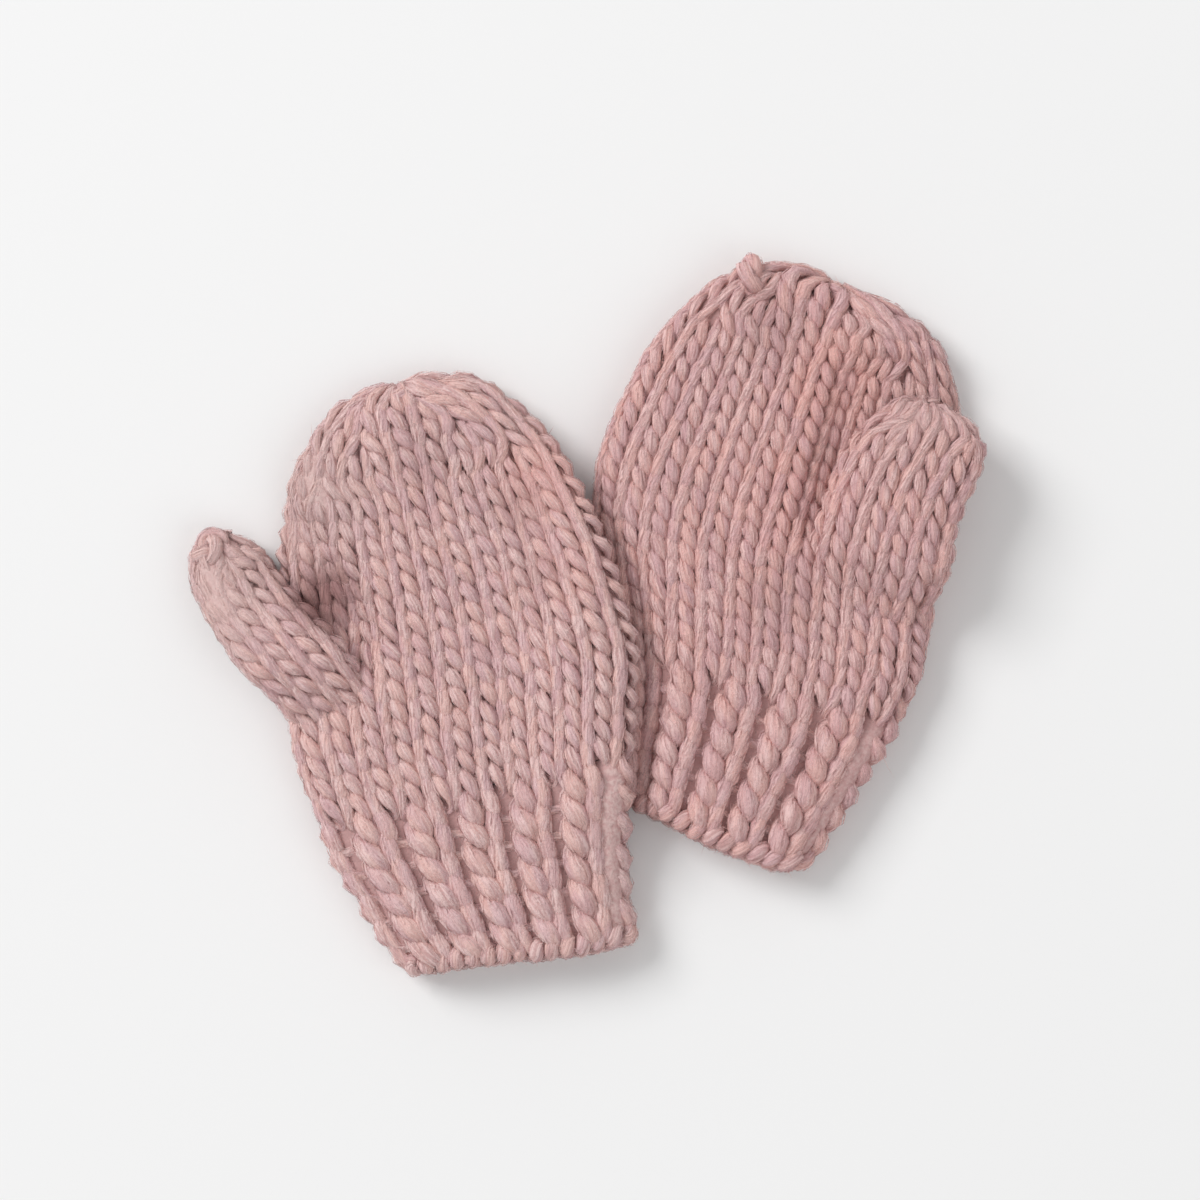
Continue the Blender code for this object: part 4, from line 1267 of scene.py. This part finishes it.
def make_mitten(side, meet, body, thumb, body_knitting, thumb_knitting, felts, knots, tones,
                tints):
    """A mitten's cuff, hand and thumb. Its cuff and hand meet at a place along it."""
    wools = (
        yarn_wool(f"{side}_yarn_wool", tones, body.place, tints),
        cloth_wool(f"{side}_cloth_wool", tones, body.place, tints),
        halo_wool(f"{side}_halo_wool", tones, body.place, tints),
        down_wool(f"{side}_down_wool", tones),
    )
    rows = range(len(body_knitting.rows))
    edge, tip = body.along[0], body.along[-1]
    dress(side, "cuff", body, body_knitting, rows[:CUFF_ROWS], (edge + EDGE_SETBACK, meet),
          felts[0], (), wools)
    dress(side, "hand", body, body_knitting, rows[CUFF_ROWS:], (meet + PIECE_GAP, tip),
          felts[0], knots[0], wools)
    dress(side, "thumb", thumb, thumb_knitting, range(len(thumb_knitting.rows)),
          (thumb.along[0] + EDGE_SETBACK, thumb.along[-1]),
          felts[1], knots[1], wools)


# the knots where the yarn was drawn together and fastened off
Knot = namedtuple("Knot", "x y z size")
LEFT_KNOTS = (
    (Knot(x=0.5, y=147.0, z=7.5, size=2.0),),
    (Knot(x=-56.0, y=119.5, z=9.5, size=2.8),),
)
RIGHT_KNOTS = (
    (Knot(x=0.0, y=141.6, z=7.5, size=2.0), Knot(x=-23.0, y=139.6, z=10.0, size=3.0)),
    (Knot(x=29.5, y=118.6, z=15.0, size=1.9),),
)

left_body = Tube(LEFT_CUFF + LEFT_HAND, LEFT_HAND_TIP, left_levels, LEFT_EDGE_SWING, LEFT_PLACE)
right_body = Tube(
    RIGHT_CUFF + RIGHT_HAND, RIGHT_HAND_TIP, right_levels, RIGHT_EDGE_SWING, RIGHT_PLACE
)
left_thumb = Tube(LEFT_THUMB, LEFT_THUMB_TIP, thumb_levels, 0.0, LEFT_PLACE)
right_thumb = Tube(RIGHT_THUMB, RIGHT_THUMB_TIP, thumb_levels, 0.0, RIGHT_PLACE)

# floor, lights and camera

FLOOR_HALF = 3.0
FLOOR_TONE = 0.87
SKY_STRENGTH = 0.54


def floor():
    """A plain pale floor, square and flat."""
    points = np.array([(-1, -1, 0), (1, -1, 0), (1, 1, 0), (-1, 1, 0)], float) * FLOOR_HALF
    obj = mesh_object("floor", points, np.arange(4), np.array([4]))
    material = bpy.data.materials.new("pale_floor")
    material.use_nodes = True
    shader = material.node_tree.nodes["Principled BSDF"]
    shader.inputs["Base Color"].default_value = (FLOOR_TONE, FLOOR_TONE, FLOOR_TONE, 1.0)
    shader.inputs["Roughness"].default_value = 0.9
    obj.data.materials.append(material)


def lamp(name, power, size, place):
    """A square soft light at a place, facing the middle of the floor."""
    data = bpy.data.lights.new(name, "AREA")
    data.energy, data.size = power, size
    obj = bpy.data.objects.new(name, data)
    bpy.context.scene.collection.objects.link(obj)
    obj.location = place
    x, y, z = place
    obj.rotation_euler = (math.atan2(math.hypot(x, y), z), 0.0, math.atan2(-y, -x) - math.pi / 2)


def photo_camera():
    """A camera straight above, as high as gives the photograph's framing."""
    data = bpy.data.cameras.new("photo_camera")
    camera = bpy.data.objects.new("photo_camera", data)
    bpy.context.scene.collection.objects.link(camera)
    camera.location = (PHOTO_MIDDLE[0], PHOTO_MIDDLE[1], CAMERA_HEIGHT + AIM_HEIGHT)
    data.sensor_width = SENSOR
    data.lens = SENSOR * CAMERA_HEIGHT / PHOTO_WIDTH
    data.clip_start, data.clip_end = 0.01, 100.0
    bpy.context.scene.camera = camera


floor()
make_mitten("left", LEFT_MEET, left_body, left_thumb, LEFT_BODY_KNITTING, LEFT_THUMB_KNITTING,
            (LEFT_FELT, LEFT_THUMB_FELT), LEFT_KNOTS, LEFT_TONES, LEFT_TINTS)
make_mitten("right", RIGHT_MEET, right_body, right_thumb, RIGHT_BODY_KNITTING, RIGHT_THUMB_KNITTING,
            (RIGHT_FELT, RIGHT_THUMB_FELT), RIGHT_KNOTS, RIGHT_TONES, RIGHT_TINTS)
lamp("main_light", power=140.0, size=2.2, place=(-2.9, 2.0, 3.0))
lamp("fill_light", power=40.0, size=4.0, place=(3.0, -2.2, 4.0))
world = bpy.data.worlds.new("studio")
world.use_nodes = True
world.node_tree.nodes["Background"].inputs["Color"].default_value = (1.0, 1.0, 1.0, 1.0)
world.node_tree.nodes["Background"].inputs["Strength"].default_value = SKY_STRENGTH
bpy.context.scene.world = world
bpy.context.scene.view_settings.view_transform = "Standard"
photo_camera()
